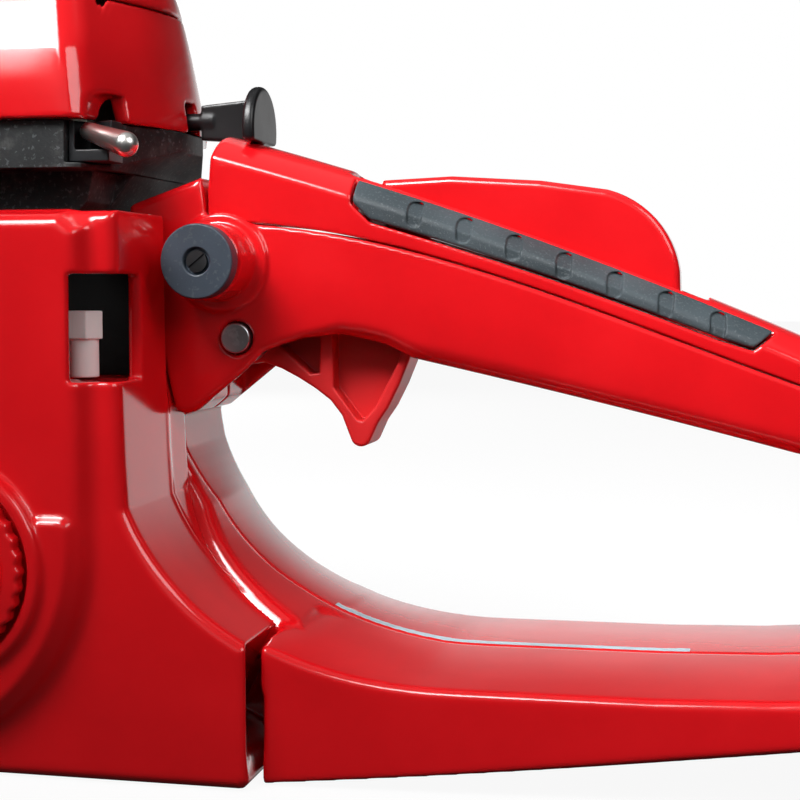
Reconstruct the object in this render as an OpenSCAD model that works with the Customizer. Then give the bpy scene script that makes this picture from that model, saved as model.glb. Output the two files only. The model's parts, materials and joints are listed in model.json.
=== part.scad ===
// Petrol chainsaw with a D-shaped rear handle, built as separate pieces.
// Frame: +X towards the rear handle, -X towards the bar tip, -Y the starter side, +Z up.
// Origin: on the flat base, under the middle of the engine. Units are millimetres.

/* [Engine] */
// Height of the crankshaft axis above the base
crank_z = 74; // [72:1:76]
// Radius of the flywheel
flywheel_r = 44; // [40:1:45]
// Number of cooling fins on the cylinder
fin_count = 9; // [6:1:10]

/* [Cutting gear] */
// Distance from the spikes to the tip of the guide bar
bar_reach = 450; // [300:10:510]
// Height of the guide bar at its middle
bar_h = 60; // [54:2:66]

/* [Rear handle] */
// Half width of the upper grip
grip_half = 16; // [15:0.5:17]
// How far the lower hand guard reaches to the starter side
guard_left = 45; // [40:1:50]
// How far the lower hand guard reaches to the clutch side
guard_right = 42; // [38:1:50]
// Wall thickness of the plastic shells
wall = 3; // [2.5:0.5:3.5]

/* [Controls] */
// Radius of the throttle trigger's pin
pin_r = 3.9; // [3.5:0.1:4.2]
// Number of grooves in each rubber grip pad
groove_count = 7; // [5:1:7]
// Radius of the choke knob
choke_r = 12; // [10:1:13]

/* [Hidden] */
$fn = 48;
gap = 0.3;              // assembly gap between shells that meet
run = 0.05;             // radial running clearance
crank_x = -16;          // crankshaft axis, fore and aft
case_half = 36;         // half width of the crankcase
case_split = 4;         // plane where the crankcase halves meet
chain_y = 44.5;         // middle plane of the bar and chain
rail_r = bar_h / 2;     // half height of the bar
tip_x = -108 - bar_reach;
stud_x = [-70, -96];    // bar studs
pin_pos = [122.3, 106]; // throttle trigger's pin
lock_pos = [158, 136];  // throttle lock's pin
plug_pos = [118.3, 125.2];
screw_x = [182, 245];    // screws that join the handle halves
cap_pos = [61, 52];     // fuel cap
tank_left = 52;         // starter side of the fuel tank
tank_top = 137;
cover_z = 159.3;        // underside of the engine cover
guard_pivot = [-46, 181];
rope_at = [15.3, -70];  // where the starter rope leaves its pulley

// ---------- shared shapes ----------

// A profile drawn in X and Z, extruded across the saw from y0 to y1
module slab(y0, y1) translate([0, y1, 0]) rotate([90, 0, 0]) linear_extrude(y1 - y0) children();

module rod_x(y, z, r, x0, x1) translate([x0, y, z]) rotate([0, 90, 0]) cylinder(r = r, h = x1 - x0);

module rod_y(x, z, r, y0, y1) translate([x, y0, z]) rotate([-90, 0, 0]) cylinder(r = r, h = y1 - y0);

module rod_z(x, y, r, z0, z1) translate([x, y, z0]) cylinder(r = r, h = z1 - z0);

// A profile drawn in Y and Z, extruded fore and aft from x0 to x1
module length_x(x0, x1) translate([x0, 0, 0]) rotate([90, 0, 90]) linear_extrude(x1 - x0) children();

module block(lo, hi) translate(lo) cube(hi - lo);

// A straight round bar between two points
module strut(a, b, r) {
    d = b - a;
    h = norm(d);
    translate(a) rotate([0, acos(d[2] / h), atan2(d[1], d[0])]) cylinder(r = r, h = h);
}

// A cord of round section through a list of points
module cord(points, r) {
    for (i = [0:len(points) - 2]) strut(points[i], points[i + 1], r);
    for (i = [1:len(points) - 2]) translate(points[i]) sphere(r = r * 1.12);
}

function arc(cx, cz, r, a0, a1, n = 6) =
    [for (i = [0:n]) let (a = a0 + (a1 - a0) * i / n) [cx + r * cos(a), cz + r * sin(a)]];

function round_box(x0, z0, x1, z1, r, n = 5) = concat(
    arc(x1 - r, z1 - r, r, 0, 90, n), arc(x0 + r, z1 - r, r, 90, 180, n),
    arc(x0 + r, z0 + r, r, 180, 270, n), arc(x1 - r, z0 + r, r, 270, 360, n));

// ---------- lines of the rear handle ----------

function top_z(x) = 158.6 - 0.27 * (x - 116) - 0.00055 * pow(x - 116, 2);
function seam_z(x) = 135.5 - 0.0093 * (x - 115) - 0.00301 * pow(x - 115, 2) + 0.0000083 * pow(x - 115, 3);
function under_z(x) = 101 - 0.215 * (x - 167) - 0.0002 * pow(x - 167, 2);
function guard_z(x) = 0.1 * (x - 138) + 0.00015 * pow(x - 138, 2);

// The swept corner where the front wall turns into the lower guard
function corner(grow, a0, a1, n = 14) = [for (i = [0:n]) let (a = a0 + (a1 - a0) * i / n)
    [185 - (84 + grow) * pow(cos(a), 0.87), 95 - (70 + grow) * pow(sin(a), 0.87)]];

function hand_opening() = concat(corner(0, 6.4, 89.9), [[230, 25.2], [256, 26]],
    arc(262, 50, 24, -75, 0), arc(268, 60, 18, 0, 80),
    [for (x = [262:-19:167]) [x, under_z(x)]],
    [[160, 104.5], [149, 107], [139, 106], [129, 102.5], [124.6, 98], [111, 87]]);

function handle_outline() = concat([[93, 140], [113, 147], [114.5, 135.4]],
    [for (x = [116:16:292]) [x, seam_z(x) - 0.1]], [[292.3, 92.4]],
    arc(279.6, 65, 30, 64, 0), arc(301, 30, 9, 0, -80),
    [for (x = [294:-26:138]) [x, guard_z(x)]], [[137, 0], [137, 21]], corner(10, 60, 0.1), [[91, 130]]);

// Where the loop is as wide as the grip, in X and Z
grip_zone = [[90, 150], [93, 140], [105.6, 88], [111, 79], [254, 70], [254, -5], [330, -5], [330, 150]];
// Where the clutch side of the front wall reaches its full width
wall_zone = [[80, 10], [80, 104], [101, 104], [102.6, 86], [130, 50], [146, 36], [146, 10]];
// Widths of the front wall and of the rear post near the lower guard, in Y and Z
flare = [[5, 66], [14, 53], [20, 41], [25, 33], [25, 10], [0, 10], [0, 66]];
rear_flare = [[16, 62], [21, 44], [30, 34], [41, 29], [41, -5], [0, -5], [0, 62]];

function mirrored(points, side, grow = 0) = [for (p = points) [side * (p[0] > 0 ? p[0] + grow : -1), p[1]]];

// One half of the handle loop. side is -1 for the starter side and 1 for the clutch side
module handle_half(side, guard) {
    module across(w) slab(side < 0 ? -w : -1, side < 0 ? 1 : w) children();
    difference() {
        intersection() {
            slab(side < 0 ? -60 : 0, side < 0 ? 0 : 60) polygon(handle_outline());
            union() {
                across(5) square([400, 160]);
                across(grip_half) polygon(grip_zone);
                if (side > 0) across(guard - 6) polygon(wall_zone);
                length_x(85, 142) polygon(mirrored(flare, side));
                length_x(254.5, 330) polygon(mirrored(rear_flare, side));
                across(guard) polygon([[137, -3], [137, 34.2], [262, 34.2], [330, 25], [330, -3]]);
            }
        }
        slab(-61, 61) polygon(hand_opening());
        // hollow inside of the grip
        slab(-grip_half + wall, grip_half - wall) polygon(concat([[103, 100], [103, 138], [114, 137]],
            [for (x = [118:24:286]) [x, seam_z(x) + 1]],
            [for (x = [286:-17:167]) [x, under_z(x) + wall]],
            [[149, 110], [138, 109], [124, 98], [112, 99]]));
        // slots for the trigger, its spring and the rod to the carburettor
        block([116, -12.6, 90], [136, 12.6, 116]);
        block([134, -7.6, 92], [172, 7.6, 116]);
        block([85, -3, 118.5], [112, 3, 138]);
        // hollow inside of the lower guard
        across(guard - wall) polygon(concat([for (x = [144:29:231]) [x, guard_z(x) + wall]],
            [[231, 21.5], [190, 21.5], [160, 24], [144, 28]]));
        rod_y(pin_pos[0], pin_pos[1], pin_r + run, -20, 20);
        for (x = screw_x) rod_y(x, seam_z(x) - 9, 2.1, side < 0 ? -grip_half + 1.6 : -5, 20);
    }
}

module handle_shell_left() color("firebrick") difference() {
    union() {
        handle_half(-1, guard_left);
        rod_y(plug_pos[0], plug_pos[1], 9.6, -30, -grip_half + 2);
        for (x = screw_x) difference() {
            rod_y(x, seam_z(x) - 9, 3.6, -14.2, -2);
            rod_y(x, seam_z(x) - 9, 2.1, -12.6, 0);
        }
    }
    rod_y(plug_pos[0], plug_pos[1], 5 + run, -31, -10);
}

module handle_shell_right() color("firebrick") handle_half(1, guard_right);

// Outline of the handle's top shell, drop below its crown
function cover_line(drop) = concat([[114.8, 136], [114.2, 148], [116, 158 - drop]],
    [for (x = [126:16:286]) [x, top_z(x) - drop]], [[291.8, top_z(291.8) - drop]],
    [for (x = [291.8:-16:116]) [x, seam_z(x) + 0.2]]);

module handle_cover() color("crimson") difference() {
    union() {
        slab(-grip_half + 1, grip_half - 1) polygon(cover_line(6));
        slab(-grip_half + 3, grip_half - 3) polygon(cover_line(2.5));
        slab(-grip_half + 6.5, grip_half - 6.5) polygon(cover_line(0));
    }
    slab(-grip_half + 1 + wall, grip_half - 1 - wall) polygon(concat(
        [for (x = [118:16:288]) [x, top_z(x) - wall]],
        [for (x = [288:-16:118]) [x, seam_z(x) - 1]]));
    for (s = [-1, 1]) scale_pad_pocket(s);
    block([150, -6.6, 100], [240, 6.6, 170]);
}

module pad_profile(grow) polygon(concat([for (x = [152.5 - grow:17.25:256 + grow]) [x, top_z(x) + 12 * grow]],
    [[256 + grow, top_z(256) - 2], [251, top_z(251) - 8 - grow]],
    [for (x = [243:-13:165]) [x, top_z(x) - 11 + 0.025 * (x - 158) - grow]],
    [[157, top_z(157) - 11 - grow], [152.5 - grow, top_z(152.5) - 8]]));

module scale_pad_pocket(s) slab(s < 0 ? -20 : grip_half - 7.7, s < 0 ? -grip_half + 7.7 : 20)
    pad_profile(gap / 2);

module grip_pad(s) {
    inner = grip_half - 7.5;
    outer = grip_half - 0.7;
    intersection() {
        difference() {
            slab(s < 0 ? -outer : inner + gap, s < 0 ? -inner - gap : outer) pad_profile(0);
            for (i = [0:groove_count - 1]) let (x = 168.5 + i * 12.4)
                block([x, s * outer - 1.1, top_z(x) - 9], [x + 4.3, s * outer + 1.1, top_z(x) + 5]);
        }
        union() {
            slab(-outer, outer) polygon(cover_line(5));
            slab(-outer + 3, outer - 3) polygon(cover_line(2));
            slab(-outer + 5.5, outer - 5.5) polygon(cover_line(0));
        }
    }
}

module grip_pad_left() color("darkslategray") grip_pad(-1);

module grip_pad_right() color("darkslategray") grip_pad(1);

module throttle_trigger() color("firebrick") difference() {
    union() {
        slab(-7, 7) polygon(concat([[118, 101.5], [126.5, 99.6], [136, 95.6], [144.6, 89.8]],
            arc(152.6, 80.6, 2.7, 200, 335, 5), [[159.2, 88], [165.2, 100], [168, 108], [167, 112],
            [130, 113], [120, 112]]));
        rod_y(pin_pos[0], pin_pos[1], 7.2, -7, 7);
    }
    for (s = [-1, 1]) {
        slab(s < 0 ? -8 : 2, s < 0 ? -2 : 8) polygon([[131, 103], [142, 108], [141.7, 96.8], [139.6, 96.6]]);
        slab(s < 0 ? -8 : 2, s < 0 ? -2 : 8) polygon([[145.3, 109], [165, 109], [162.6, 100], [156.6, 88.4],
            [153.3, 84.4], [151.6, 84.8], [145.3, 93.2]]);
    }
    rod_y(pin_pos[0], pin_pos[1], pin_r + run, -8, 8);
}

module trigger_pin() color("silver") rod_y(pin_pos[0], pin_pos[1], pin_r, -17.2, 17.2);

// A coil round the pin with a leg along the underside of the handle
module trigger_spring() color("gray") {
    for (y = [-11.6, -10, -8.4]) difference() {
        rod_y(pin_pos[0], pin_pos[1], 6.6, y, y + 1.3);
        rod_y(pin_pos[0], pin_pos[1], 5.2, y - 1, y + 3);
    }
    rod_y(pin_pos[0] + 5.9, pin_pos[1], 0.65, -11.5, -7.2);
    strut([pin_pos[0] + 1, -11, pin_pos[1] - 5.9], [pin_pos[0] + 10, -11, pin_pos[1] + 1.5], 0.6);
}

module throttle_lock() color("crimson") difference() {
    union() {
        rod_y(lock_pos[0], lock_pos[1], 4.4, -6, 6);
        slab(-6, 6) polygon(concat([[156, 132], [158, 146.6], [176, 147], [198.6, 145.6]],
            arc(209, 119.5, 24.5, 75, 8, 7), [[233.6, 113.5], [226, 113.5], [205, 122.5], [178, 131.5]]));
    }
    rod_y(lock_pos[0], lock_pos[1], 2 + run, -8, 8);
}

module lock_pin() color("silver") rod_y(lock_pos[0], lock_pos[1], 2, -8, 8);

// A bent wire from the trigger to the lever on the carburettor
module throttle_rod() color("gray") cord([[112, 0, 117], [101.5, 0, 130], [92, 0, 133], [64, -26, 134],
    [64, -26, 166], [64, -22.5, 166]], 1.1);

module handle_screws() color("dimgray") for (x = screw_x) {
    rod_y(x, seam_z(x) - 9, 2, -12.4, grip_half + 0.3);
    difference() {
        rod_y(x, seam_z(x) - 9, 3.8, grip_half + 0.1, grip_half + 2.6);
        rod_y(x, seam_z(x) - 9, 1.9, grip_half + 1.2, grip_half + 3);
    }
}

module av_plug() color("darkslategray") difference() {
    union() {
        rod_y(plug_pos[0], plug_pos[1], 9.2, -35, -30.1);
        rod_y(plug_pos[0], plug_pos[1], 5, -30.2, -15);
    }
    rod_y(plug_pos[0], plug_pos[1], 3.3, -36, -33.5);
}

module av_plug_screw() color("gray") difference() {
    rod_y(plug_pos[0], plug_pos[1], 2.6, -34.6, -33.6);
    translate([plug_pos[0], -34.6, plug_pos[1]]) rotate([0, -40, 0]) cube([6, 0.8, 0.6], center = true);
}

// ---------- fuel tank ----------

function panel(inset) = concat([[34, 3 + inset], [52, 3 + inset]],
    arc(44, 58, 53 - inset, -65, 0, 10), [[97 - inset, 133], [92, 136.5], [34, 136.5]]);

module fuel_tank() color("red") difference() {
    union() {
        slab(-tank_left, -16.5) polygon(concat([[34, 0], [134, 0], [136, 2], [136, 34.4]],
            corner(0, 52, 21, 12), [[105.2, 78], [104.6, 97], [104.2, tank_top], [34, tank_top]]));
        slab(-16.6, -5.4) polygon(concat([[34, 0], [134, 0], [136, 2], [136, 34.4]],
            corner(0, 52, 21, 12), [[105, 78], [104.6, 89], [102.8, 97], [91, 97], [91, tank_top], [34, tank_top]]));
        slab(-5.5, 34) polygon(concat([[34, 0], [134, 0], [136, 2], [136, 21.5]],
            corner(10.6, 59, 2.5, 12), [[90.4, tank_top], [34, tank_top]]));
        slab(-57, -tank_left + 1) polygon(panel(0));
        slab(-59, -56) difference() {
            polygon(panel(2));
            polygon(panel(9));
            translate([0, 64]) square([120, 90]);
            square([45, 90]);
        }
        rod_y(cap_pos[0], cap_pos[1], 27, -61, -50);
    }
    // room for the flare of the handle's front wall
    intersection() {
        length_x(85, 150) polygon(mirrored(flare, -1, 0.4));
        slab(-30, 1) polygon(concat([[150, 70], [150, 10], [134.6, 12]], corner(10.5, 59, 12)));
    }
    // fuel chamber, and the open box above it for the throttle and the hoses
    block([34 + wall, -tank_left + wall, wall], [85, 31, 90]);
    block([34 + wall, -tank_left + wall, 95], [87.4, 31, tank_top + 1]);
    block([80, -tank_left + wall, 96.5], [101, -19.5, tank_top - wall]);
    block([85, -8, 129], [95, 4, 138]);                          // way through for the throttle rod
    rod_z(52, 24, 3.6, 88, 100);                                // fuel line's grommet hole
    // notch round the corner that shows the vent
    block([94, -70, 96.5], [120, -36, 122]);
    rod_y(cap_pos[0], cap_pos[1], 23.6, -62, -57.5);
    rod_y(cap_pos[0], cap_pos[1], 16, -62, -40);
}

module fuel_cap() color("red") difference() {
    union() {
        rod_y(cap_pos[0], cap_pos[1], 22.8, -63, -58.6);
        rod_y(cap_pos[0], cap_pos[1], 15.9, -58.7, -48);
        slab(-67, -62.5) polygon(round_box(cap_pos[0] - 16, cap_pos[1] - 3.5,
            cap_pos[0] + 16, cap_pos[1] + 3.5, 3));
    }
    rod_y(cap_pos[0], cap_pos[1], 12.5, -56, -47);
}

module fuel_line() color("yellow") cord([[52, 24, 92], [52, 24, 172], [52, 18.1, 172]], 2.4);

module tank_vent() color("white") {
    rod_z(91.5, -41, 3.7, 97.1, 106.5);
    translate([91.5, -41, 106.4]) cylinder(r = 5, h = 6.8, $fn = 6);
}

// ---------- crankcase and moving engine parts ----------

case_line = concat([[-100, 0], [33, 0], [33, 112], [-58, 112], [-100, 106]], arc(-94, 94, 14, 110, 180, 4),
    arc(-94, 14, 14, 180, 245, 4));

module case_half(s) {
    y0 = s < 0 ? -case_half : case_split;
    y1 = s < 0 ? case_split : case_half;
    difference() {
        union() {
            slab(y0, y1) polygon(case_line);
            if (s > 0) slab(case_half - 1, 42.4) polygon(round_box(-107, 54, -54, 94, 6));
        }
        rod_y(crank_x, crank_z, 30, -14, 14);                   // crank chamber
        rod_y(crank_x, crank_z, 16, -26, 26);                   // bearing seats
        rod_y(crank_x, crank_z, 9, -50, 50);                    // shaft holes
        rod_z(crank_x, 0, 23, crank_z, 120);                    // opening under the cylinder
        block([-104, -case_half + 5, 6], [-52, case_half - 5, 44]);  // oil chamber
        if (s < 0) rod_y(-83, 27, 11, -50, -20);                // oil filler
        if (s > 0) for (x = stud_x) rod_y(x, 74, 4, 24, 50);    // bar studs
    }
}

module crankcase_left() color("dimgray") case_half(-1);

module crankcase_right() color("dimgray") case_half(1);

module main_bearings() color("silver") for (s = [-1, 1]) difference() {
    rod_y(crank_x, crank_z, 15.95, s < 0 ? -25 : 14.2, s < 0 ? -14.2 : 25);
    rod_y(crank_x, crank_z, 7.5 + run, -30, 30);
}

module crankshaft() color("silver") {
    for (s = [-1, 1]) difference() {
        rod_y(crank_x, crank_z, 28, s < 0 ? -13 : 5, s < 0 ? -5 : 13);
        block([crank_x - 30, -14, crank_z + 12], [crank_x - 9, 14, crank_z + 40]);
        block([crank_x + 9, -14, crank_z + 12], [crank_x + 30, 14, crank_z + 40]);
    }
    rod_y(crank_x, crank_z, 7.5, -78, -12.9);
    rod_y(crank_x, crank_z, 7.5, 12.9, 72);
    rod_y(crank_x, crank_z + 16, 6, -5.1, 5.1);
}

module piston() color("silver") difference() {
    rod_z(crank_x, 0, 22.4, 152, 186);
    rod_z(crank_x, 0, 19, 151, 180);
    rod_y(crank_x, 166, 5, -25, 25);
}

module cylinder_fins() for (i = [0:fin_count - 1]) {
    z = 126 + i * 7.4;
    translate([0, 0, z]) linear_extrude(1.8) polygon(round_box(-54, -36, 22, 36, 9));
}

module engine_cylinder() color("lightgray") difference() {
    union() {
        rod_z(crank_x, 0, 29, 112.2, 194);
        cylinder_fins();
        block([-48, -30, 112.2], [16, 30, 116]);
        rod_x(0, 172, 12, 8, 26);
        block([-57.8, -16, 134], [-40, 16, 156]);
    }
    rod_z(crank_x, 0, 22.5, 110, 188);
    rod_x(0, 172, 8, 4, 30);
    rod_x(0, 145, 9, -60, -36);
    rod_z(crank_x, 0, 5, 187, 200);
    block([-21, -37, 132], [-15, -30.2, 190]);                  // notch in the fins for the ignition lead
}

module spark_plug() color("white") {
    rod_z(crank_x, 0, 4.9, 190, 194.1);
    translate([crank_x, 0, 194.1]) cylinder(r = 9, h = 6, $fn = 6);
    rod_z(crank_x, 0, 5.5, 200, 209);
}

module plug_boot() color("black") difference() {
    union() {
        rod_z(crank_x, 0, 8.5, 201, 214);
        rod_y(crank_x, 207.5, 5.5, -14.95, 0);
    }
    rod_z(crank_x, 0, 5.6, 200, 210);
}

// From the coil up past the fins to the end of the plug boot
module ignition_lead() color("black") cord([[-18, -44, 130.5], [-18, -44, 144], [-18, -33, 156],
    [-18, -33, 187], [-17, -28, 199], [-16, -22, 205], [-16, -15.9, 207.5]], 2.4);

module muffler() color("gray") difference() {
    union() {
        slab(-34, 34) polygon(round_box(-104, 116, -60, 168, 7));
        rod_x(0, 145, 13, -61, -58);
        rod_y(-86, 128, 8, 33, 38);
        slab(-38, 38) polygon([[-110, 113], [-107, 113], [-107, 171], [-64, 171], [-64, 173.6], [-110, 173.6]]);
        for (s = [-1, 1]) rod_x(s * 24, 155, 4, -108, -103);
    }
    for (i = [0:5]) block([-115, -30 + i * 11, 120], [-106, -25 + i * 11, 148]);
    slab(-32.5, 32.5) polygon(round_box(-102.5, 117.5, -61.5, 166.5, 5.5));
    rod_x(0, 145, 9, -66, -50);
    rod_y(-86, 128, 6.5, 30, 40);
}

module intake_boot() color("black") difference() {
    rod_x(0, 172, 15, 26.2, 40);
    rod_x(0, 172, 8, 20, 45);
}

module carburettor() color("silver") difference() {
    union() {
        block([40.2, -18, 160], [64, 18, 185]);
        rod_y(52, 166, 3.5, -28, -17);
        rod_z(52, 0, 11.5, 184, 188);
    }
    rod_x(0, 172, 8, 36, 70);
}

// ---------- intake, cover and switch ----------

module choke_knob() color("black") {
    rod_x(0, 162.5, 2.2, 86, 112);
    slab(-1.6, 1.6) polygon([[108, 160.6], [125, 158.4], [125, 166.6], [108, 164.8]]);
    intersection() {
        rod_x(0, 160, choke_r - 0.3, 124, 127.2);
        block([120, -20, 156.4], [130, 20, 180]);
    }
}

base_plan = [[42, -45], [90, -45], [92.5, -43.5], [105.6, -8], [105.6, 8], [92.5, 43.5], [90, 45], [42, 45]];

module filter_base() color("darkslategray") difference() {
    union() {
        intersection() {
            translate([0, 0, 147.5]) linear_extrude(11.6) polygon(base_plan);
            slab(-50, 50) polygon([[40, 140], [92, 140], [98, 149.5], [108, 155.5], [108, 160], [40, 160]]);
        }
        slab(-34, 34) polygon([[42, 137.2], [87, 137.2], [90, 140], [92, 148], [42, 148]]);
        slab(-19, 19) polygon([[86, 137.2], [88, 137.2], [92.4, 142.5], [98, 149.5], [98, 155], [86, 155]]);
    }
    // room for the stop switch, the choke rod and the carburettor
    block([88.8, -60, 148.8], [99.6, -33.6, 160]);
    rod_x(0, 162.5, 3.4, 80, 120);
    block([44, -20, 150], [80, 20, 160]);
    block([58, -29, 130], [67, -21, 160]);
    rod_z(52, 24, 3.2, 130, 160);
}

module air_filter() color("gray") difference() {
    translate([0, 0, 159.2]) linear_extrude(27) polygon(round_box(66, -30, 87, 30, 6));
    rod_x(0, 162.5, 4, 60, 110);
}

function cover_plan(front, nose, half) = [[front, -half + 8], [front + 8, -half], [90.5 + nose - 106.8, -half],
    [nose - 12, -half + 2.6], [nose, -8], [nose, 8], [nose - 12, half - 2.6],
    [90.5 + nose - 106.8, half], [front + 8, half], [front, half - 8]];

module cover_layer(z0, z1, front, nose, half) hull() {
    translate([0, 0, z0]) linear_extrude(0.1) polygon(cover_plan(front[0], nose[0], half[0]));
    translate([0, 0, z1 - 0.1]) linear_extrude(0.1) polygon(cover_plan(front[1], nose[1], half[1]));
}

module engine_cover() color("red") difference() {
    union() {
        cover_layer(cover_z, 177, [-58, -58], [106.8, 104.2], [47.5, 46.5]);
        cover_layer(177, 190.5, [-58, -58], [104.2, 101.4], [46.5, 40]);
        intersection() {
            cover_layer(190.4, 223, [-58, -34], [101.4, 92], [40, 27]);
            block([-60, -60, 190], [20, 60, 230]);
        }
        for (s = [-1, 1]) rod_y(guard_pivot[0], guard_pivot[1], 6.5, s < 0 ? -50.5 : 40, s < 0 ? -40 : 50.5);
    }
    cover_layer(cover_z - 1, 187.5, [-55, -55], [103.6, 98.6], [44.5, 38.5]);
    intersection() {
        cover_layer(187.4, 220, [-55, -31], [98.4, 89], [37, 24]);
        block([-56, -60, 150], [17, 60, 230]);
    }
    block([20, -31, 180], [92, 31, 200]);                       // opening under the lid
    hull() {                                                    // arch for the stop switch
        rod_y(96.6, 163.4, 2.5, -60, -30);
        rod_y(96.6, 150, 2.5, -60, -30);
    }
    block([98, -3.2, 150], [120, 3.2, 167.4]);                  // choke passage
    for (s = [-1, 1], i = [0:3])                                // cooling slots
        block([-26 + i * 12, s < 0 ? -60 : 30, 164], [-19 + i * 12, s < 0 ? -30 : 60, 184]);
    for (s = [-1, 1]) rod_y(guard_pivot[0], guard_pivot[1], 3.45, s < 0 ? -60 : 30, s < 0 ? -30 : 60);
}

lid_top = 219;

module filter_lid() color("red") difference() {
    hull() {
        translate([0, 0, 190.8]) linear_extrude(4) polygon(concat([[20.4, -39.6], [88, -39.6], [89.2, -37],
            [101, -8], [101, 8], [89.2, 37], [88, 39.6], [20.4, 39.6]]));
        translate([0, 0, lid_top - 12]) linear_extrude(4) polygon(round_box(20.4, -32, 94, 32, 14));
        translate([0, 0, lid_top - 1]) linear_extrude(1) polygon(round_box(20.4, -24, 80, 24, 14));
    }
    hull() {
        translate([0, 0, 190]) linear_extrude(4) polygon(round_box(23.4, -35, 90, 35, 8));
        translate([0, 0, lid_top - 14]) linear_extrude(4) polygon(round_box(23.4, -29, 91, 29, 12));
        translate([0, 0, lid_top - 5]) linear_extrude(1) polygon(round_box(23.4, -21, 77, 21, 12));
    }
    rod_z(60, 0, 3.05, 205, 240);
}

module lid_knob() color("black") {
    rod_z(60, 0, 3, 188.2, lid_top + 0.3);
    difference() {
        rod_z(60, 0, 12, lid_top + 0.2, lid_top + 10);
        for (a = [0:60:300]) rotate_about(60, 0, a) rod_z(73.5, 0, 3.4, lid_top - 1, lid_top + 11);
    }
}

module rotate_about(x, y, a) translate([x, y, 0]) rotate([0, 0, a]) translate([-x, -y, 0]) children();

toggle_at = [93.6, -41, 156.4];
toggle_turn = [0, 105.6, -30.4];  // tips the toggle out and down

module stop_switch_body() color("black") difference() {
    block([89, -43, 149], [99.4, -33.8, 159.1]);
    translate(toggle_at) rotate([0, 0, -30.4]) translate([-3.4, -3.1, -4.4]) cube([20, 6.2, 20]);
}

// A turned toggle with a round root and a fatter tip
module stop_switch_lever() color("silver") translate(toggle_at) rotate(toggle_turn)
    rotate_extrude() polygon(concat([[0, -2.6]], arc(0, 0, 2.6, -60, 50, 6),
        [[1.5, 3.4], [2.3, 7], [3, 11]], arc(0, 13, 3.1, 10, 80, 6), [[0, 16.1]]));

// ---------- starter ----------

module flywheel() color("silver") difference() {
    union() {
        rod_y(crank_x, crank_z, flywheel_r - 1, -48, -44);
        rod_y(crank_x, crank_z, 14, -56, -40);
        difference() {
            rod_y(crank_x, crank_z, flywheel_r - 1, -44.1, -38);
            rod_y(crank_x, crank_z, flywheel_r - 7, -45, -37);
        }
        for (a = [0:24:336]) translate([crank_x, -52, crank_z]) rotate([0, a, 0])
            translate([26, 0, 0]) cube([30, 9, 1.8], center = true);
    }
    rod_y(crank_x, crank_z, 7.52, -60, -30);
}

module ignition_coil() color("black") {
    block([-49, -50, 119.2], [17, -40, 126]);
    for (x = [-49, 12.6]) block([x, -44, 108], [x + 4.4, -36.05, 126]);
    block([-32, -54, 125.9], [-4, -38, 130.5]);
}

starter_line = round_box(-64, 22.5, 32.2, 134, 22, 6);
cover_screws = [[-57, 30], [-57, 126], [25.5, 30], [25.5, 126]];

module starter_cover() color("red") difference() {
    union() {
        slab(-62, -case_half - 0.2) polygon(starter_line);
        rod_y(crank_x, crank_z, 48, -84, -61);
        rod_y(crank_x, crank_z, 38, -88, -83);
        slab(-79, -61) polygon(round_box(rope_at[0] - 8, 92, rope_at[0] + 4.5, 134, 4));
    }
    slab(-59, -30) difference() {
        polygon(round_box(-61, 25.5, 29.2, 131, 19, 6));
        for (p = cover_screws) translate(p) circle(r = 5.5);
    }
    rod_y(crank_x, crank_z, 45, -81, -58);
    rod_y(crank_x, crank_z, 35, -85, -80);
    for (a = [-50:20:230]) translate([crank_x, -84, crank_z]) rotate([0, -a, 0])
        translate([41.5, 0, 0]) cube([5, 12, 5], center = true);
    rod_z(rope_at[0], rope_at[1], 3.4, 80, 140);                // rope outlet
    rod_z(-18, -44, 2.8, 129, 140);                             // ignition lead's way out
    for (p = cover_screws) rod_y(p[0], p[1], 2.6, -64, -30);
}

module starter_screws() color("gray") for (p = cover_screws) {
    rod_y(p[0], p[1], 2.5, -62.1, -36.1);
    difference() {
        rod_y(p[0], p[1], 4.6, -65, -62.05);
        rod_y(p[0], p[1], 2.2, -66, -63.4);
    }
}

module starter_pulley() color("white") difference() {
    union() {
        rod_y(crank_x, crank_z, 34.5, -73.6, -72.4);
        rod_y(crank_x, crank_z, 29, -73, -67);
        rod_y(crank_x, crank_z, 34.5, -67.6, -66.2);
        rod_y(crank_x, crank_z, 12, -66.3, -58.5);
    }
    rod_y(crank_x, crank_z, 7.5 + run, -90, -50);
}

function spiral(r, turns, step, n) = let (a = 360 * turns * step / n, q = r + 19 * step / n)
    [crank_x + q * cos(a), crank_z + q * sin(a)];

// A flat spring wound as a spiral between the pulley and the starter cover
module recoil_spring() color("gray") slab(-80, -75) polygon(concat(
    [for (i = [0:90]) spiral(13, 4.5, i, 90)], [for (i = [90:-1:0]) spiral(14.4, 4.5, i, 90)]));

module starter_rope() color("white") rod_z(rope_at[0], rope_at[1], 1.8, 90, 152);

module starter_grip() color("black") translate([rope_at[0], rope_at[1], 0]) difference() {
    union() {
        translate([0, 0, 134.4]) cylinder(r1 = 6.5, r2 = 8, h = 8.6);
        translate([0, 0, 142.9]) linear_extrude(6) polygon(round_box(-17, -6.5, 17, 6.5, 5.5));
        translate([0, 0, 148.8]) linear_extrude(9) polygon(round_box(-21, -7.5, 21, 7.5, 7));
    }
    rod_z(0, 0, 1.9, 130, 152.1);
}

// ---------- clutch, bar and chain ----------

module clutch_hub() color("gray") difference() {
    union() {
        rod_y(crank_x, crank_z, 13, 51, 66);
        rod_y(crank_x, crank_z, 32, 53, 65);
    }
    rod_y(crank_x, crank_z, 7.52, 40, 70);
    for (a = [60:120:300]) translate([crank_x, 59, crank_z]) rotate([0, a, 0])
        translate([27, 0, 0]) cube([26, 20, 3.4], center = true);
}

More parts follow.
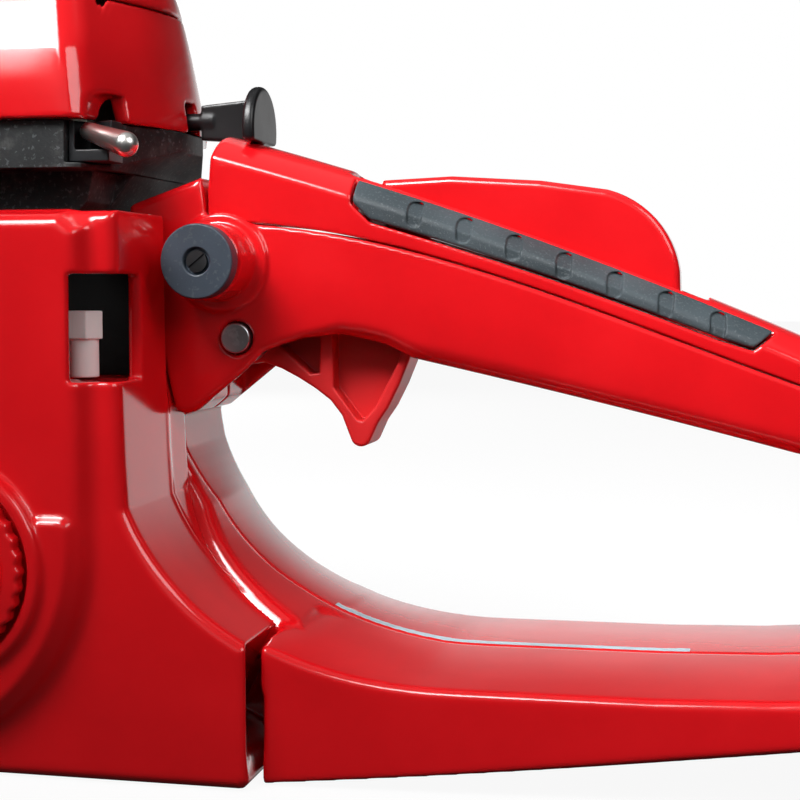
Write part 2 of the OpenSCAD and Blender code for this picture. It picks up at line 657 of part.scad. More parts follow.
module clutch_drum() color("silver") difference() {
    union() {
        rod_y(crank_x, crank_z, 37, 49, 67);
        rod_y(crank_x, crank_z, 16, 47, 49.1);
        rod_y(crank_x, crank_z, 16, 40, 42);
        for (a = [0:360 / 7:359]) translate([crank_x, 44.5, crank_z]) rotate([0, a, 0])
            translate([7.7, 0, 0]) cube([15.4, 5.2, 6.5], center = true);
        rod_y(crank_x, crank_z, 12, 41, 48);
    }
    rod_y(crank_x, crank_z, 34, 50.5, 70);
    rod_y(crank_x, crank_z, 7.5 + run, 30, 70);
}

nose_x = tip_x + rail_r - 4;

function bar_line(g) = concat(arc(nose_x, crank_z, rail_r - 4 - g, 90, 270, 16),
    [[nose_x + 60, crank_z - rail_r + 1.5 + g], [-260, crank_z - rail_r + g], [-120, crank_z - rail_r + 3 + g],
    [-58 - g, crank_z - 19 + g], [-48 - g, crank_z - 12 + g], [-48 - g, crank_z + 12 - g],
    [-58 - g, crank_z + 19 - g], [-120, crank_z + rail_r - 3 - g], [-260, crank_z + rail_r - g],
    [nose_x + 60, crank_z + rail_r - 1.5 - g]]);

module guide_bar() color("silver") difference() {
    slab(chain_y - 2, chain_y + 2) polygon(bar_line(0));
    slab(chain_y - 0.8, chain_y + 0.8) difference() {           // groove for the chain
        polygon(bar_line(-1));
        polygon(bar_line(6.5));
    }
    difference() {                                              // pocket for the nose sprocket
        rod_y(nose_x, crank_z, 26, chain_y - 0.9, chain_y + 0.9);
        rod_y(nose_x, crank_z, 5, chain_y - 2, chain_y + 2);
    }
    slab(chain_y - 3, chain_y + 3) polygon(concat(arc(-66, crank_z, 4.3, -90, 90), arc(-104, crank_z, 4.3, 90, 270)));
    for (s = [-1, 1]) rod_y(-84, crank_z + s * 13, 3, 40, 50);
}

module nose_sprocket() color("gray") difference() {
    union() {
        rod_y(nose_x, crank_z, 19.5, chain_y - 0.7, chain_y + 0.7);
        for (a = [0:36:324]) translate([nose_x, chain_y, crank_z]) rotate([0, a, 0])
            translate([21, 0, 0]) cube([8.6, 1.4, 5], center = true);
    }
    rod_y(nose_x, crank_z, 5 + run, 40, 50);
    for (a = [18:36:342]) translate([nose_x, chain_y, crank_z]) rotate([0, a, 0])
        translate([12.5, 0, 0]) rotate([90, 0, 0]) cylinder(r = 2, h = 4, center = true);
}

// The chain is one closed band round the bar and the drum's sprocket
module chain_band(out) {
    r = rail_r + out;
    polygon(concat(arc(nose_x, crank_z, r - 4, 90, 270, 16),
        [[nose_x + 60, crank_z - r + 1.5], [-260, crank_z - r], [-120, crank_z - r + 3]],
        arc(crank_x, crank_z, 16 + out, -75, 75, 12),
        [[-120, crank_z + r - 3], [-260, crank_z + r], [nose_x + 60, crank_z + r - 1.5]]));
}

module saw_chain() color("dimgray") difference() {
    slab(chain_y - 2.4, chain_y + 2.4) chain_band(7);
    slab(chain_y - 5, chain_y + 5) chain_band(0.4);
}

module bar_studs() color("silver") for (x = stud_x) rod_y(x, 74, 3.98, 24.2, 66);

module bar_nuts() color("silver") for (x = stud_x) difference() {
    union() {
        translate([x, 56.2, 74]) rotate([-90, 30, 0]) cylinder(r = 7.5, h = 7, $fn = 6);
        rod_y(x, 74, 8.6, 55.2, 56.3);
    }
    rod_y(x, 74, 4.02, 50, 70);
}

module clutch_cover() color("red") difference() {
    union() {
        slab(48.2, 55) polygon(concat([[-112, 40], [-112, 106], [-60, 118], [12, 118], [33, 96],
            [33, 30], [20, 16], [-50, 16], [-100, 26]]));
        rod_y(crank_x, crank_z, 42, 48.2, 78);
        slab(40, 55) polygon([[-20, 118], [12, 118], [33, 96], [33, 30], [20, 16], [-20, 16], [-20, 19],
            [19, 19], [30, 31], [30, 95], [11, 115], [-20, 115]]);
    }
    rod_y(crank_x, crank_z, 38.5, 46, 75);
    slab(47, 52) polygon([[-50, 52], [-50, 98], [0, 112], [28, 94], [28, 32], [18, 20], [-20, 20]]);
    for (x = stud_x) rod_y(x, 74, 4.3, 40, 60);
    for (a = [30:40:330]) translate([crank_x, 76, crank_z]) rotate([0, a, 0])
        translate([26, 0, 0]) cube([14, 10, 4], center = true);
    rod_x(52, 90, 3.2, -115, -80);
}

module tension_screw() color("silver") {
    rod_x(52, 90, 3, -111, -84);
    rod_x(52, 90, 4.6, -115, -112.1);
}

module spiked_bumper() color("dimgray") difference() {
    slab(case_half + 0.1, case_half + 3.1) polygon([[-107, 20], [-109, 20], [-116, 28], [-111, 33],
        [-120, 42], [-112, 47], [-121, 57], [-112, 62], [-121, 72], [-112, 77], [-120, 87], [-111, 91],
        [-117, 100], [-107, 104]]);
    rod_y(-109.4, 40, 0.8, 30, 45);
}

// ---------- front handle and brake guard ----------

handle_r = 10;
handle_tilt = 7.2;

// Moves children into the plane of the bent front handle
module handle_frame() translate([-30, 0, 11]) rotate([0, -handle_tilt, 0]) children();

// A quarter bend in the plane of Y and Z
module bend(y, z, r, start) translate([0, y, z]) rotate([90, 0, 90]) rotate([0, 0, start])
    rotate_extrude(angle = 90) translate([r, 0]) circle(r = handle_r);

module front_handle() color("black") handle_frame() {
    rod_y(0, 0, handle_r, -82, -36.6);
    bend(-82, 24, 24, 180);
    rod_z(0, -106, handle_r, 24, 226);
    bend(-82, 226, 24, 90);
    rod_y(0, 250, handle_r, -82, 62);
    bend(62, 226, 24, 0);
    rod_z(0, 86, handle_r, 122, 226);
}

module handle_bracket() color("dimgray") difference() {
    union() {
        block([-59, case_half + 0.1, 96], [-34, case_half + 3.9, 131]);
        block([-59, case_half + 0.1, 120], [-34, 74, 131]);
        handle_frame() rod_z(0, 86, 13.5, 108, 134);
        block([-58, 70, 120], [-36, 86, 131]);
    }
    handle_frame() rod_z(0, 86, handle_r + 0.05, 112, 140);
    for (x = [-54, -39]) rod_y(x, 104, 2.6, 30, 50);
}

module brake_guard() color("black") difference() {
    union() {
        slab(-84, 62) polygon([[-80, 205], [-75, 205], [-94, 292], [-99, 290]]);
        for (s = [-1, 1]) {
            y0 = s < 0 ? -56.4 : 51.4;
            slab(y0, y0 + 5) polygon(concat(arc(guard_pivot[0], guard_pivot[1], 8, -80, 60, 6),
                [[-62, 200], [-74, 214], [-79, 205], [-70, 190], [-56, 176]]));
            rod_y(guard_pivot[0], guard_pivot[1], 3.4, s < 0 ? -56 : 46, s < 0 ? -46 : 56);
        }
    }
    for (i = [0:4]) slab(-74 + i * 26, -57 + i * 26) polygon([[-105, 228], [-70, 228], [-70, 274], [-105, 274]]);
}

module oil_cap() color("black") difference() {
    union() {
        rod_y(-83, 27, 10.9, -36.1, -26);
        rod_y(-83, 27, 15, -42, -36.1);
        slab(-45, -41.9) polygon(round_box(-94, 24.5, -72, 29.5, 2));
    }
    rod_y(-83, 27, 8.5, -33, -25);
}

handle_shell_left();
handle_shell_right();
handle_cover();
grip_pad_left();
grip_pad_right();
throttle_trigger();
trigger_pin();
trigger_spring();
throttle_lock();
lock_pin();
throttle_rod();
handle_screws();
av_plug();
av_plug_screw();
fuel_tank();
fuel_cap();
tank_vent();
fuel_line();
crankcase_left();
crankcase_right();
main_bearings();
crankshaft();
piston();
engine_cylinder();  // cylinder
spark_plug();
plug_boot();
ignition_lead();
muffler();
intake_boot();
carburettor();
choke_knob();
filter_base();
air_filter();
engine_cover();
filter_lid();
lid_knob();
stop_switch_body();
stop_switch_lever();
flywheel();
ignition_coil();
starter_cover();
starter_screws();
starter_pulley();
recoil_spring();
starter_rope();
starter_grip();
clutch_hub();
clutch_drum();
guide_bar();
nose_sprocket();
saw_chain();
bar_studs();
bar_nuts();
clutch_cover();
tension_screw();
spiked_bumper();
brake_guard();
front_handle();
handle_bracket();
oil_cap();
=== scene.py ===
"""Petrol chainsaw: the visual model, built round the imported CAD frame. Working units are mm."""

import json
import math

import bmesh
import bpy
import numpy as np
import openvdb
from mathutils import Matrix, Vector


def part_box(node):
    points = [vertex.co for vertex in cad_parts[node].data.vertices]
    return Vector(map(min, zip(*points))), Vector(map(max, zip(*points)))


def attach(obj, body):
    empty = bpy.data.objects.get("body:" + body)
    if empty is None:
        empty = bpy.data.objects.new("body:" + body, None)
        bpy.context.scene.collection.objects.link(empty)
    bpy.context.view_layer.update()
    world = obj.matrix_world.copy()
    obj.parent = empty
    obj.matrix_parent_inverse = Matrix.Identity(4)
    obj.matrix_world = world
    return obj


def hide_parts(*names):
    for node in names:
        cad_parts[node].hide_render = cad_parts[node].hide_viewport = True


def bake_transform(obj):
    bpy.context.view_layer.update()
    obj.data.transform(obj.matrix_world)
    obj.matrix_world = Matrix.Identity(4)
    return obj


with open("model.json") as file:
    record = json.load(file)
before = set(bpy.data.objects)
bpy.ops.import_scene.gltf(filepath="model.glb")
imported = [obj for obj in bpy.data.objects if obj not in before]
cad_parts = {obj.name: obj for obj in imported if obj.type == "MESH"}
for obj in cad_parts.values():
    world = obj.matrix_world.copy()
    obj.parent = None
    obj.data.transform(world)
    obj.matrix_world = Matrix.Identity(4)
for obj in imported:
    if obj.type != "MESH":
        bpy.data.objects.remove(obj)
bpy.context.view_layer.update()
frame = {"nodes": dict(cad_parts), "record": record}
NODES = frame["nodes"]
MM = 0.001
SLOT = {s["node"]: s["material_slot"] for s in frame["record"]["subparts"]}


# ---------------------------------------------------------------- camera, light and floor

def link(obj):
    bpy.context.scene.collection.objects.link(obj)
    return obj


def aim(obj, target):
    obj.rotation_euler = (Vector(target) - obj.location).to_track_quat("-Z", "Y").to_euler()


CAMERA_AT, CAMERA_AIM = (0.24797, -0.40635, 0.118), (0.165, -0.016, 0.0908)
LENS, SENSOR = 72, 36


def make_camera():
    cam = bpy.data.cameras.new("camera")
    cam.lens, cam.sensor_width = LENS, SENSOR
    cam.clip_start = 0.02
    obj = link(bpy.data.objects.new("camera", cam))
    obj.location = CAMERA_AT
    aim(obj, CAMERA_AIM)
    bpy.context.scene.camera = obj


def area_light(name, place, target, size, power, spread=180):
    """A rectangular lamp: places and size in metres, power in watts, spread in degrees."""
    lamp = bpy.data.lights.new(name, "AREA")
    lamp.shape = "RECTANGLE"
    lamp.size, lamp.size_y = size
    lamp.energy, lamp.spread = power, math.radians(spread)
    obj = link(bpy.data.objects.new(name, lamp))
    obj.location = place
    aim(obj, target)


def node(tree, kind, values=None, **settings):
    """A new node; values go to its inputs by name or number, and a socket as a value is linked."""
    n = tree.nodes.new(kind)
    for key, value in settings.items():
        setattr(n, key, value)
    for key, value in (values or {}).items():
        if isinstance(value, bpy.types.NodeSocket):
            tree.links.new(value, n.inputs[key])
        else:
            n.inputs[key].default_value = value
    return n


def ramp(tree, fac, stops):
    """A colour ramp; each stop is its position and a grey or a colour."""
    n = tree.nodes.new("ShaderNodeValToRGB")
    tree.links.new(fac, n.inputs[0])
    e = n.color_ramp.elements
    while len(e) < len(stops):
        e.new(0.5)
    for item, (at, c) in zip(e, stops):
        item.position = at
        item.color = (c, c, c, 1) if isinstance(c, (int, float)) else (*c, 1)
    return n.outputs[0]


def make_world():
    """A dark studio with a bright backdrop low down behind the saw; the camera sees plain white."""
    world = bpy.data.worlds.new("studio")
    bpy.context.scene.world = world
    world.use_nodes = True
    t = world.node_tree
    t.nodes.clear()
    way = node(t, "ShaderNodeTexCoord").outputs["Generated"]
    _, across, up = node(t, "ShaderNodeSeparateXYZ", {0: way}).outputs

    def eased(value, start, stop, first, last):
        """Goes smoothly from first to last as the value goes from start to stop."""
        return node(t, "ShaderNodeMapRange", {0: value, 1: start, 2: stop, 3: first, 4: last},
                    interpolation_type="SMOOTHSTEP").outputs[0]

    def math_node(kind, a, b):
        return node(t, "ShaderNodeMath", {0: a, 1: b}, operation=kind).outputs[0]

    behind = eased(across, 0.7, 0.97, 0.0, 0.95)
    low_down = math_node("MULTIPLY", eased(up, 0.08, 0.34, 1.0, 0.1), eased(up, -0.5, -0.1, 0.0, 1.0))
    backdrop = math_node("MULTIPLY", behind, low_down)
    room = math_node("MULTIPLY", eased(across, 0.0, -0.8, 0.0, 1.0), eased(up, -0.1, 0.5, 0.01, 0.12))
    room = math_node("ADD", room, eased(up, 0.5, 0.95, 0.025, 0.15))
    tone = math_node("ADD", backdrop, room)
    seen = node(t, "ShaderNodeLightPath").outputs["Is Camera Ray"]
    colour = node(t, "ShaderNodeMixRGB", {0: seen, 1: tone, 2: (1, 1, 1, 1)}).outputs[0]
    back = node(t, "ShaderNodeBackground", {0: colour, 1: 1.0})
    out = node(t, "ShaderNodeOutputWorld")
    t.links.new(back.outputs[0], out.inputs[0])


FLOOR_HALF, FLOOR_Z, FLOOR_GLOW = 6.0, -0.0004, 0.93


def make_floor():
    """A pale floor that neither lights the saw nor shows in its gloss."""
    mesh = bpy.data.meshes.new("floor")
    s = FLOOR_HALF
    mesh.from_pydata([(-s, -s, 0), (s, -s, 0), (s, s, 0), (-s, s, 0)], [], [(0, 1, 2, 3)])
    floor = link(bpy.data.objects.new("floor", mesh))
    floor.location = (0, 0, FLOOR_Z)
    floor.visible_glossy = False
    floor.visible_diffuse = False
    m = bpy.data.materials.new("floor")
    m.use_nodes = True
    t = m.node_tree
    t.nodes.clear()
    lit = node(t, "ShaderNodeBsdfDiffuse", {0: (0.9, 0.9, 0.9, 1)})
    glow = node(t, "ShaderNodeEmission", {0: (1, 1, 1, 1), 1: 1.0})
    mix = node(t, "ShaderNodeMixShader", {0: FLOOR_GLOW, 1: lit.outputs[0], 2: glow.outputs[0]})
    out = node(t, "ShaderNodeOutputMaterial")
    t.links.new(mix.outputs[0], out.inputs[0])
    mesh.materials.append(m)


make_camera()
make_world()
make_floor()
area_light("key", (-0.08, -0.28, 0.56), (0.06, -0.03, 0.31), (0.7, 0.3), 1.5, 46)
area_light("front", (0.15, -1.1, 0.62), (0.12, -0.03, 0.12), (1.2, 0.45), 0.5)
area_light("right", (0.8, -0.4, 0.62), (0.12, -0.03, 0.14), (0.5, 0.5), 3.0)
area_light("top", (0.2, 0.1, 1.1), (0.1, 0, 0.1), (0.9, 0.9), 0.5)
area_light("far side", (-0.7, 1.1, 0.4), (-0.1, 0.04, 0.1), (0.9, 0.5), 7)
area_light("bar", (-0.6, -0.8, 0.7), (-0.45, 0.02, 0.08), (0.5, 0.4), 2.0, 40)
bpy.context.scene.view_settings.view_transform = "Standard"


# ---------------------------------------------------------------- materials

MATERIALS = {}
DUST = (0.42, 0.42, 0.4, 1)


def noise(tree, at, scale, detail, **more):
    values = {"Vector": at, "Scale": float(scale), "Detail": float(detail), **more}
    return node(tree, "ShaderNodeTexNoise", values).outputs[0]


def bumped(tree, height, depth, under=None):
    """Relief of a depth in mm, on top of the bump under it."""
    values = {"Strength": 1.0, "Distance": depth * MM, "Height": height}
    if under is not None:
        values["Normal"] = under
    return node(tree, "ShaderNodeBump", values).outputs[0]


def dust_share(tree, most):
    """How dusty each place is: clumps, thickest on faces that look up."""
    facing = node(tree, "ShaderNodeSeparateXYZ", {0: node(tree, "ShaderNodeNewGeometry").outputs["Normal"]})
    up = ramp(tree, facing.outputs[2], [(0.0, 0.25), (0.9, 1.0)])
    at = node(tree, "ShaderNodeTexCoord").outputs["Object"]
    clumps = ramp(tree, noise(tree, at, 160, 8, Roughness=0.75), [(0.5, 0.0), (0.68, 1.0)])
    amount = node(tree, "ShaderNodeMath", {0: up, 1: clumps}, operation="MULTIPLY").outputs[0]
    return node(tree, "ShaderNodeMath", {0: amount, 1: most}, operation="MULTIPLY").outputs[0]


def material(name, colour, rough=(0.2, 0.3), metal=0.0, mottle=0.06, grain=(900, 0.02), coat=0.0,
             specks=None, streaks=None, dust=0.0, glow=0.0, ior=1.5, swirl=(60, 0.0)):
    """A procedural finish. rough is the lowest and highest roughness, mottle how far the colour drifts,
    grain the fine relief's scale and depth, specks (colour, scale, share, depth of the relief), streaks the
    brushing's direction as a scale for each axis, dust the share of pale dust on faces that look up, glow
    the light that goes through, swirl a slow relief's scale and depth."""
    m = bpy.data.materials.new(name)
    m.use_nodes = True
    t = m.node_tree
    t.nodes.clear()
    at = node(t, "ShaderNodeTexCoord").outputs["Object"]
    broad = noise(t, at, 38, 5)
    relief = noise(t, at, grain[0], 3)
    darker = tuple(c * (1 - 2.2 * mottle) for c in colour)
    lighter = tuple(min(1, c * (1 + 2 * mottle) + 0.03 * mottle) for c in colour)
    paint = ramp(t, broad, [(0.3, darker), (0.5, colour), (0.7, lighter)])
    if streaks:
        relief = noise(t, node(t, "ShaderNodeMapping", {0: at, 3: streaks}).outputs[0], 1, 4)
        shade = ramp(t, relief, [(0.3, 0.9), (0.7, 1.0)])
        paint = node(t, "ShaderNodeMixRGB", {0: 1.0, 1: paint, 2: shade}, blend_type="MULTIPLY").outputs[0]
    bump = bumped(t, relief, grain[1])
    if swirl[1]:
        bump = bumped(t, noise(t, at, swirl[0], 1), swirl[1], bump)
    if specks:
        tint, scale, share, depth = specks
        on = ramp(t, noise(t, at, scale, 2), [(1 - share - 0.03, 0.0), (1 - share + 0.03, 1.0)])
        paint = node(t, "ShaderNodeMixRGB", {0: on, 1: paint, 2: (*tint, 1)}).outputs[0]
        if depth:
            bump = bumped(t, on, depth, bump)
    if dust:
        paint = node(t, "ShaderNodeMixRGB", {0: dust_share(t, dust), 1: paint, 2: DUST}).outputs[0]
    sheen = node(t, "ShaderNodeMapRange", {0: broad, 1: 0.3, 2: 0.7, 3: rough[0], 4: rough[1]}).outputs[0]
    body = node(t, "ShaderNodeBsdfPrincipled", {"Base Color": paint, "Roughness": sheen, "Metallic": metal,
                                                "Normal": bump, "Coat Weight": coat, "IOR": ior,
                                                "Coat Roughness": 0.08})
    if glow:
        body.inputs["Subsurface Weight"].default_value = glow
        body.inputs["Subsurface Radius"].default_value = (0.004, 0.004, 0.004)
        body.inputs["Subsurface Scale"].default_value = 1.0
    out = node(t, "ShaderNodeOutputMaterial")
    t.links.new(body.outputs[0], out.inputs[0])
    MATERIALS[name] = m


RED = (0.70, 0.006, 0.010)
material("red_plastic", RED, (0.10, 0.19), mottle=0.03, grain=(1400, 0.006), coat=0.4, swirl=(45, 0.05))
material("red_trigger", (0.62, 0.014, 0.016), (0.32, 0.42), mottle=0.05, grain=(1500, 0.03),
         swirl=(120, 0.03))
material("grip_rubber", (0.036, 0.050, 0.058), (0.5, 0.68), mottle=0.12, grain=(2600, 0.06),
         specks=((0.075, 0.09, 0.098), 1700, 0.38, 0.02))
material("plug_rubber", (0.046, 0.060, 0.082), (0.36, 0.5), mottle=0.1, grain=(2000, 0.03),
         specks=((0.07, 0.085, 0.1), 900, 0.36, 0.0))
material("black_plastic", (0.011, 0.012, 0.014), (0.34, 0.5), mottle=0.2, grain=(1800, 0.03))
# painted shade: near black and matt, only for the sheet that darkens the hollow behind the tank's window
material("painted_shade_black", (0.003, 0.003, 0.003), (0.8, 0.95), mottle=0.2, grain=(1200, 0.1), ior=1.2)
material("gloss_black_plastic", (0.006, 0.006, 0.007), (0.3, 0.42), mottle=0.2, grain=(1500, 0.02))
material("dusty_black_plastic", (0.008, 0.010, 0.011), (0.42, 0.66), mottle=0.3, grain=(1300, 0.05), dust=0.4,
         specks=((0.06, 0.066, 0.07), 900, 0.36, 0.0))
material("white_plastic", (0.93, 0.94, 0.91), (0.25, 0.4), mottle=0.05, grain=(900, 0.02), glow=0.35)
material("zinc_steel", (0.56, 0.58, 0.60), (0.24, 0.45), 1.0, mottle=0.18, grain=(700, 0.03),
         specks=((0.66, 0.68, 0.70), 500, 0.42, 0.01))
material("chrome_steel", (0.90, 0.88, 0.84), (0.27, 0.36), 1.0, mottle=0.05, grain=(500, 0.01),
         swirl=(90, 0.05))
material("dark_steel", (0.12, 0.12, 0.125), (0.3, 0.5), 1.0, mottle=0.2, grain=(1200, 0.03))
material("bar_steel", (0.62, 0.625, 0.63), (0.36, 0.44), 0.85, mottle=0.03, grain=(900, 0.006),
         streaks=(60, 1100, 1100))
material("chain_steel", (0.20, 0.19, 0.18), (0.24, 0.42), 1.0, mottle=0.25, grain=(900, 0.03))
material("cutter_steel", (0.62, 0.62, 0.60), (0.12, 0.3), 1.0, mottle=0.1, grain=(900, 0.02))
material("cast_alloy", (0.22, 0.23, 0.235), (0.42, 0.6), 0.85, mottle=0.16, grain=(1500, 0.09), dust=0.2)
material("bright_alloy", (0.55, 0.56, 0.57), (0.34, 0.5), 0.95, mottle=0.1, grain=(1300, 0.08))
material("muffler_paint", (0.018, 0.018, 0.018), (0.5, 0.7), 0.1, mottle=0.3, grain=(1500, 0.07), dust=0.12)
material("ceramic", (0.85, 0.84, 0.8), (0.08, 0.14), mottle=0.03, coat=0.4)
material("black_rubber", (0.012, 0.012, 0.013), (0.42, 0.58), mottle=0.15, grain=(1500, 0.04))
material("filter_felt", (0.62, 0.60, 0.50), (0.85, 0.95), mottle=0.12, grain=(1600, 0.2))
material("fuel_hose", (0.62, 0.44, 0.10), (0.2, 0.3), mottle=0.08, grain=(900, 0.02), glow=0.2)
material("rope_fibre", (0.74, 0.74, 0.68), (0.7, 0.85), mottle=0.1, grain=(1500, 0.2))
material("pale_film", (0.46, 0.60, 0.68), (0.12, 0.3), mottle=0.08, grain=(700, 0.01))


def dress(obj, name):
    obj.data.materials.clear()
    obj.data.materials.append(MATERIALS[name])


# ---------------------------------------------------------------- fields: signed distance on a grid

def open_grid(lo, hi, h):
    """The places along X, Y and Z from lo to hi, h apart, shaped so that they spread over the whole grid."""
    x, y, z = (np.arange(lo[i], hi[i] + h, h, dtype=np.float32) for i in range(3))
    return x[:, None, None], y[None, :, None], z[None, None, :]


def poly(points, u, v):
    """Signed distance from the points (u, v) to a closed polygon, negative inside."""
    p = np.asarray(points, np.float32)
    shape = np.broadcast(u, v).shape
    d = np.full(shape, 1e9, np.float32)
    inside = np.zeros(shape, bool)
    for (ax, ay), (bx, by) in zip(p, np.roll(p, -1, 0)):
        ex, ey = bx - ax, by - ay
        if abs(ex) + abs(ey) < 1e-6:
            continue
        t = np.clip(((u - ax) * ex + (v - ay) * ey) / (ex * ex + ey * ey), 0, 1)
        d = np.minimum(d, (u - ax - t * ex) ** 2 + (v - ay - t * ey) ** 2)
        if ey != 0:
            inside ^= ((ay > v) != (by > v)) & (u < ex * (v - ay) / ey + ax)
    return np.where(inside, -1, 1).astype(np.float32) * np.sqrt(d)


def side(points, X, Z):
    """A polygon seen from the side, in X and Z, drawn out along Y."""
    return poly(points, X[:, 0], Z[0])[:, None, :]


def end(points, Y, Z):
    """A polygon seen from the end, in distance from the middle and Z, drawn out along X."""
    return poly(points, np.abs(Y)[0], Z[0])[None]


def both(a, b, r=0.0):
    """Where both shapes are, with the edge between them rounded to radius r."""
    if np.isscalar(r) and r <= 0:
        return np.maximum(a, b)
    u, v = np.maximum(a + r, 0), np.maximum(b + r, 0)
    return np.minimum(np.maximum(a, b), -r) + np.sqrt(u * u + v * v)


def join(a, b, r=0.0):
    """Either shape, with a fillet of radius r in the corner between them."""
    return -both(-a, -b, r)


def cut(a, b, r=0.0):
    return both(a, -b, r)


def span(w, lo, hi):
    """The slab from lo to hi."""
    return np.maximum(lo - w, w - hi)


def box3(X, Y, Z, lo, hi, r=0.0):
    """A box with edges rounded to radius r."""
    c = [(lo[i] + hi[i]) / 2 for i in range(3)]
    s = [(hi[i] - lo[i]) / 2 - r for i in range(3)]
    q = [np.abs(W - c[i]) - s[i] for i, W in enumerate((X, Y, Z))]
    out = np.sqrt(sum(np.maximum(w, 0) ** 2 for w in q))
    return out + np.minimum(np.maximum(np.maximum(q[0], q[1]), q[2]), 0) - r


def disc_y(X, Y, Z, at, radius, y0, y1, r=0.0):
    """A cylinder along Y at (x, z), its rims rounded."""
    return both(np.sqrt((X - at[0]) ** 2 + (Z - at[1]) ** 2) - radius, span(Y, y0, y1), r)


def disc_z(X, Y, Z, at, radius, z0, z1, r=0.0):
    """A cylinder along Z at (x, y), its rims rounded."""
    return both(np.sqrt((X - at[0]) ** 2 + (Y - at[1]) ** 2) - radius, span(Z, z0, z1), r)


def capsule(X, Y, Z, a, b, r0, r1):
    """A round bar from a to b with round ends, its radius going from r0 to r1."""
    a, b = np.array(a, float), np.array(b, float)
    e = b - a
    t = np.clip(((X - a[0]) * e[0] + (Y - a[1]) * e[1] + (Z - a[2]) * e[2]) / (e @ e), 0, 1)
    away = np.sqrt((X - a[0] - t * e[0]) ** 2 + (Y - a[1] - t * e[1]) ** 2 + (Z - a[2] - t * e[2]) ** 2)
    return away - (r0 + (r1 - r0) * t)


def half_space(X, Y, Z, p, n):
    """Everything behind the plane through p with the normal n."""
    n = np.array(n, float) / np.linalg.norm(n)
    return (X - p[0]) * n[0] + (Y - p[1]) * n[1] + (Z - p[2]) * n[2]


def sample(field, q):
    """The field's value at grid places q, by trilinear interpolation."""
    top = np.array(field.shape) - 1.001
    q = np.clip(q, 0, top)
    i = q.astype(int)
    f = q - i
    out = 0
    for dx in (0, 1):
        for dy in (0, 1):
            for dz in (0, 1):
                w = (f[:, 0] if dx else 1 - f[:, 0]) * (f[:, 1] if dy else 1 - f[:, 1])
                w = w * (f[:, 2] if dz else 1 - f[:, 2])
                out = out + w * field[i[:, 0] + dx, i[:, 1] + dy, i[:, 2] + dz]
    return out


def slope(field, q):
    """The field's direction of steepest rise at grid places q."""
    reach = 0.75  # in cells, to each side
    g = np.stack([sample(field, q + d) - sample(field, q - d) for d in np.eye(3) * reach], 1)
    return g / np.maximum(np.linalg.norm(g, axis=1, keepdims=True), 1e-9)


def skin(name, field, lo, h, mat, body, stands_for=()):
    """The zero surface of a field as a smooth mesh that rides a body."""
    lo = np.array(lo, float)
    field = np.ascontiguousarray(field, np.float32)
    grid = openvdb.FloatGrid(3 * h)
    grid.copyFromArray(np.clip(field, -3 * h, 3 * h).astype(float), tolerance=0.0)
    points, tris, quads = grid.convertToPolygons(0.0, 0.0)
    q = points.astype(float)
    for _ in range(2):  # the grid's own surface wavers a little, so its points move onto the zero level
        d = sample(field, q)
        q = q - slope(field, q) * np.clip(d / h, -0.4, 0.4)[:, None]
    normals = slope(field, q)
    verts = (q * h + lo) * MM
    faces = [tuple(f) for f in quads] + [tuple(f) for f in tris]
    some = np.array([f[:3] for f in faces[:400]])
    a, b, c = (verts[some[:, i]] for i in range(3))
    if np.sum(np.cross(b - a, c - a) * normals[some[:, 0]]) < 0:
        faces = [f[::-1] for f in faces]
    mesh = bpy.data.meshes.new(name)
    mesh.from_pydata(verts.tolist(), [], faces)
    mesh.polygons.foreach_set("use_smooth", [True] * len(faces))
    mesh.validate()
    mesh.normals_split_custom_set_from_vertices(normals.tolist())
    place(link(bpy.data.objects.new(name, mesh)), mat, body, stands_for)


def place(obj, mat, body, stands_for=()):
    """Paints a piece, and has it ride a body and stand for CAD nodes, if it is theirs."""
    dress(obj, mat)
    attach(obj, body)
    if stands_for:
        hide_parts(*stands_for)


def arc(cx, cz, r, a0, a1, n=8):
    """Points on a circle from angle a0 to a1, in degrees."""
    return [(cx + r * math.cos(math.radians(a0 + (a1 - a0) * i / n)),
             cz + r * math.sin(math.radians(a0 + (a1 - a0) * i / n))) for i in range(n + 1)]


def steps(a, b, d):
    """Numbers from a to b, d apart; b is in when a whole number of steps reaches it."""
    return list(np.arange(a, b + (1e-6 if d > 0 else -1e-6), d))


# ---------------------------------------------------------------- lines of the rear handle

def top_z(x):
    """The cover's crest."""
    return 158.6 - 0.27 * (x - 116) - 0.00055 * (x - 116) ** 2


def seam_z(x):
    """The seam between the cover and the grip."""
    return 135.5 - 0.0093 * (x - 115) - 0.00301 * (x - 115) ** 2 + 0.0000083 * (x - 115) ** 3


def under_z(x):
    """The grip's underside."""
    return 101 - 0.215 * (x - 167) - 0.0002 * (x - 167) ** 2


def guard_z(x):
    """The hand guard's bottom."""
    return 0.1 * (x - 138) + 0.00015 * (x - 138) ** 2


CORNER_AT, CORNER_REACH, CORNER_DROP = (185, 95), 84, 70
CORNER_POWER = 0.87  # 1 is an ellipse, less is fuller
CORNER_STEPS = 28


def corner(grow, a0, a1):
    """The curve from the grip's front wall down to the loop's floor, moved out by grow."""
    out = []
    for i in range(CORNER_STEPS + 1):
        a = math.radians(a0 + (a1 - a0) * i / CORNER_STEPS)
        out.append((CORNER_AT[0] - (CORNER_REACH + grow) * math.cos(a) ** CORNER_POWER,
                    CORNER_AT[1] - (CORNER_DROP + grow) * math.sin(a) ** CORNER_POWER))
    return out


def hand_opening():
    floor, rear = [(230, 25.2), (256, 26)], arc(262, 50, 24, -75, 0, 10) + arc(268, 60, 18, 0, 80)
    roof = [(x, under_z(x)) for x in steps(262, 167, -9.5)]
    front = [(160, 104.5), (149, 107), (139, 106), (129, 102.5), (124.6, 98), (111, 87)]
    return corner(0, 6.4, 89.9) + floor + rear + roof + front


